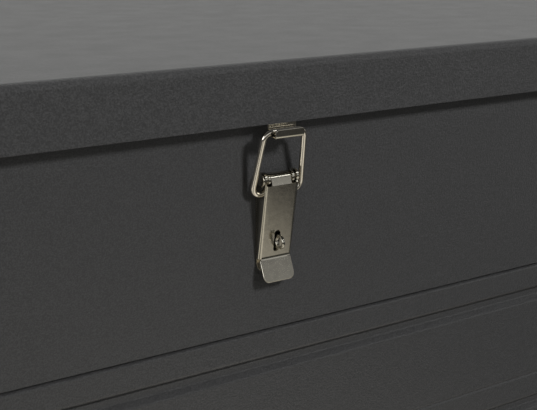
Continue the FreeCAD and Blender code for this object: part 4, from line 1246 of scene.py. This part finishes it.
def stage_floor(colour):
    """Plain pale floor that glows in reflections only, as a painted pool of light with a painted shade oval and
    darkness beyond.
    """
    piece = start("floor", bpy.ops.mesh.primitive_plane_add, size=FLOOR_SIZE)
    leave(piece)
    made = NodeTree("pale_floor")
    path = made.node("ShaderNodeLightPath")
    seen = path.outputs["Is Camera Ray"]
    made.feed("Base Color", made.blend(seen, FLOOR_BOUNCE, colour))
    lift = made.spread(made.oval(Vector()), *FLOOR_LIFT, *FLOOR_LIFT_SPAN)
    made.feed("Emission Strength", made.join("MULTIPLY", seen, lift))
    made.feed("Emission Color", ROOM_TONE)
    made.feed("Roughness", FLOOR_ROUGH)
    made.feed("Specular IOR Level", FLOOR_SHEEN)
    # Reflections only: painted light near the box fading to painted darkness, dimmed in a painted shade oval
    # towards the camera
    far_share = made.spread(made.oval(POOL_CENTRE), 0, 1, *POOL_EDGE)
    shade = made.oval(SHADE_CENTRE, CAMERA_YAW, SHADE_HALVES)
    mirrored = made.node("ShaderNodeEmission", {
        "Color": made.blend(far_share, MIRRORED_FLOOR_PAINTED_LIGHT, MIRRORED_FLOOR_PAINTED_DARK),
        "Strength": made.spread(shade, SHADE_SHARE, 1, *SHADE_EDGE)})
    choose = made.node("ShaderNodeMixShader", {
        "Fac": path.outputs["Is Glossy Ray"],
        1: made.shader.outputs["BSDF"],
        2: mirrored.outputs["Emission"]})
    made.put(choose.outputs["Shader"], made.tree.nodes["Material Output"].inputs["Surface"])
    piece.data.materials.append(made.material)


def soft_light(name, place, size, power, target):
    """Square soft light turned to a target, and not itself mirrored in shiny pieces."""
    bpy.ops.object.light_add(type="AREA", location=place)
    lamp = bpy.context.object
    lamp.name = name
    lamp.data.shape = "SQUARE"
    lamp.data.size = size
    lamp.data.energy = power
    lamp.visible_camera = lamp.visible_glossy = False
    lamp.rotation_euler = (target - place).to_track_quat("-Z", "Y").to_euler()


def key_place(target):
    """Place of the key light, by its bearing and height from the latch."""
    flat = math.cos(KEY_HEIGHT)
    way = Vector((flat * math.sin(KEY_BEARING), -flat * math.cos(KEY_BEARING), math.sin(KEY_HEIGHT)))
    return target + way * KEY_DISTANCE


class WorldTree(Nodes):
    """Nodes of the room around the box."""

    def __init__(self, name):
        world = bpy.data.worlds.new(name)
        bpy.context.scene.world = world
        world.use_nodes = True
        self.tree = world.node_tree
        self.background = self.tree.nodes["Background"]
        self.looking = self.node("ShaderNodeTexCoord").outputs["Generated"]
        self.way = self.node("ShaderNodeSeparateXYZ", {"Vector": self.looking})

    def step(self, value, begin, end, low, high):
        """Smooth step of a value from one span to another."""
        return self.spread(value, low, high, begin, end, "SMOOTHSTEP")

    def glow(self, way, edge, strength):
        """Round patch of light that lies one way, with a soft edge."""
        made = self.node("ShaderNodeVectorMath", {0: self.looking, 1: way}, operation="DOT_PRODUCT")
        return self.step(made.outputs["Value"], *edge, 0, strength)


def studio_world():
    """Soft room: pale to the eye, a lit band in front, an even glow behind and two mirrored soft boxes."""
    room = WorldTree("studio")
    across, along, up = (room.way.outputs[axis] for axis in "XYZ")
    rise = room.step(up, *BAND_FOOT, 0, 1)
    fall = room.step(up, *BAND_HEAD, 1, 0)
    aside = room.step(across, *BAND_SIDE, *BAND_SIDE_SHARES)
    band = room.join("MULTIPLY", room.join("MULTIPLY", rise, fall), aside)
    front = room.join("ADD", room.join("MULTIPLY", band, FRONT_GLOW), DARK_GLOW)
    behind = room.step(along, *BAND_TURN, 0, 1)
    path = room.node("ShaderNodeLightPath")
    back = room.mix(path.outputs["Is Diffuse Ray"], BACK_GLOW, BACK_FILL)
    light = room.mix(behind, front, back)
    room.put(ROOM_TONE, room.background.inputs["Color"])
    softbox = room.glow(SOFTBOX_WAY, SOFTBOX_EDGE, SOFTBOX_GLOW)
    side = room.glow(SIDE_WAY, SIDE_EDGE, SIDE_GLOW)
    mirrored = room.join("MULTIPLY", room.join("ADD", softbox, side), path.outputs["Is Glossy Ray"])
    lit = room.join("ADD", light, mirrored)
    room.put(room.mix(path.outputs["Is Camera Ray"], lit, PALE), room.background.inputs["Strength"])


class BOX_OT_stage(bpy.types.Operator):
    """Set the floor, the soft lights and the camera"""
    bl_idname = "storage_box.stage"
    bl_label = "Stage"

    def execute(self, context):
        stage = context.scene.storage_box_stage
        stage_floor(stage.floor)
        target = latch_point(0, 0, 0)
        soft_light("key", key_place(target), KEY_SIZE, stage.key_power, target)
        soft_light("top", TOP_PLACE, TOP_SIZE, stage.top_power, target)
        studio_world()
        bpy.ops.object.camera_add(location=CAMERA_PLACE, rotation=(CAMERA_PITCH, 0, CAMERA_YAW))
        camera = context.object
        camera.data.sensor_width = CAMERA_SENSOR
        camera.data.lens = stage.lens
        camera.data.clip_start = CAMERA_NEAR
        context.scene.camera = camera
        context.scene.view_settings.view_transform = "Standard"
        return {"FINISHED"}


class BOX_PT_panel(bpy.types.Panel):
    """Sidebar panel with the box's settings and steps"""
    bl_idname = "BOX_PT_panel"
    bl_label = "Storage Box"
    bl_space_type = "VIEW_3D"
    bl_region_type = "UI"
    bl_category = "Storage Box"

    def draw(self, context):
        layout = self.layout
        for key in GROUPS:
            group = getattr(context.scene, key)
            for name in group.bl_rna.properties.keys():
                if name not in ("rna_type", "name"):
                    layout.prop(group, name)
        for step in STEPS:
            layout.operator(step.bl_idname)


GROUPS = {"storage_box_finishes": BoxFinishes, "storage_box_sizes": BoxSizes, "storage_box_stage": BoxStage}
STEPS = (BOX_OT_finishes, BOX_OT_walls, BOX_OT_posts, BOX_OT_skids, BOX_OT_lid, BOX_OT_seal, BOX_OT_latch,
         BOX_OT_handles, BOX_OT_hardware, BOX_OT_stage)
CLASSES = (*GROUPS.values(), *STEPS, BOX_PT_panel)


def register():
    """Register every class and hang the settings on the scene."""
    for item in CLASSES:
        bpy.utils.register_class(item)
    for name, group in GROUPS.items():
        setattr(bpy.types.Scene, name, PointerProperty(type=group))


def unregister():
    """Take the settings and the classes away again."""
    for name in GROUPS:
        delattr(bpy.types.Scene, name)
    for item in reversed(CLASSES):
        bpy.utils.unregister_class(item)


def main():
    """Build the box step by step."""
    register()
    for step in STEPS:
        group, name = step.bl_idname.split(".")
        getattr(getattr(bpy.ops, group), name)()


if __name__ == "__main__":
    main()
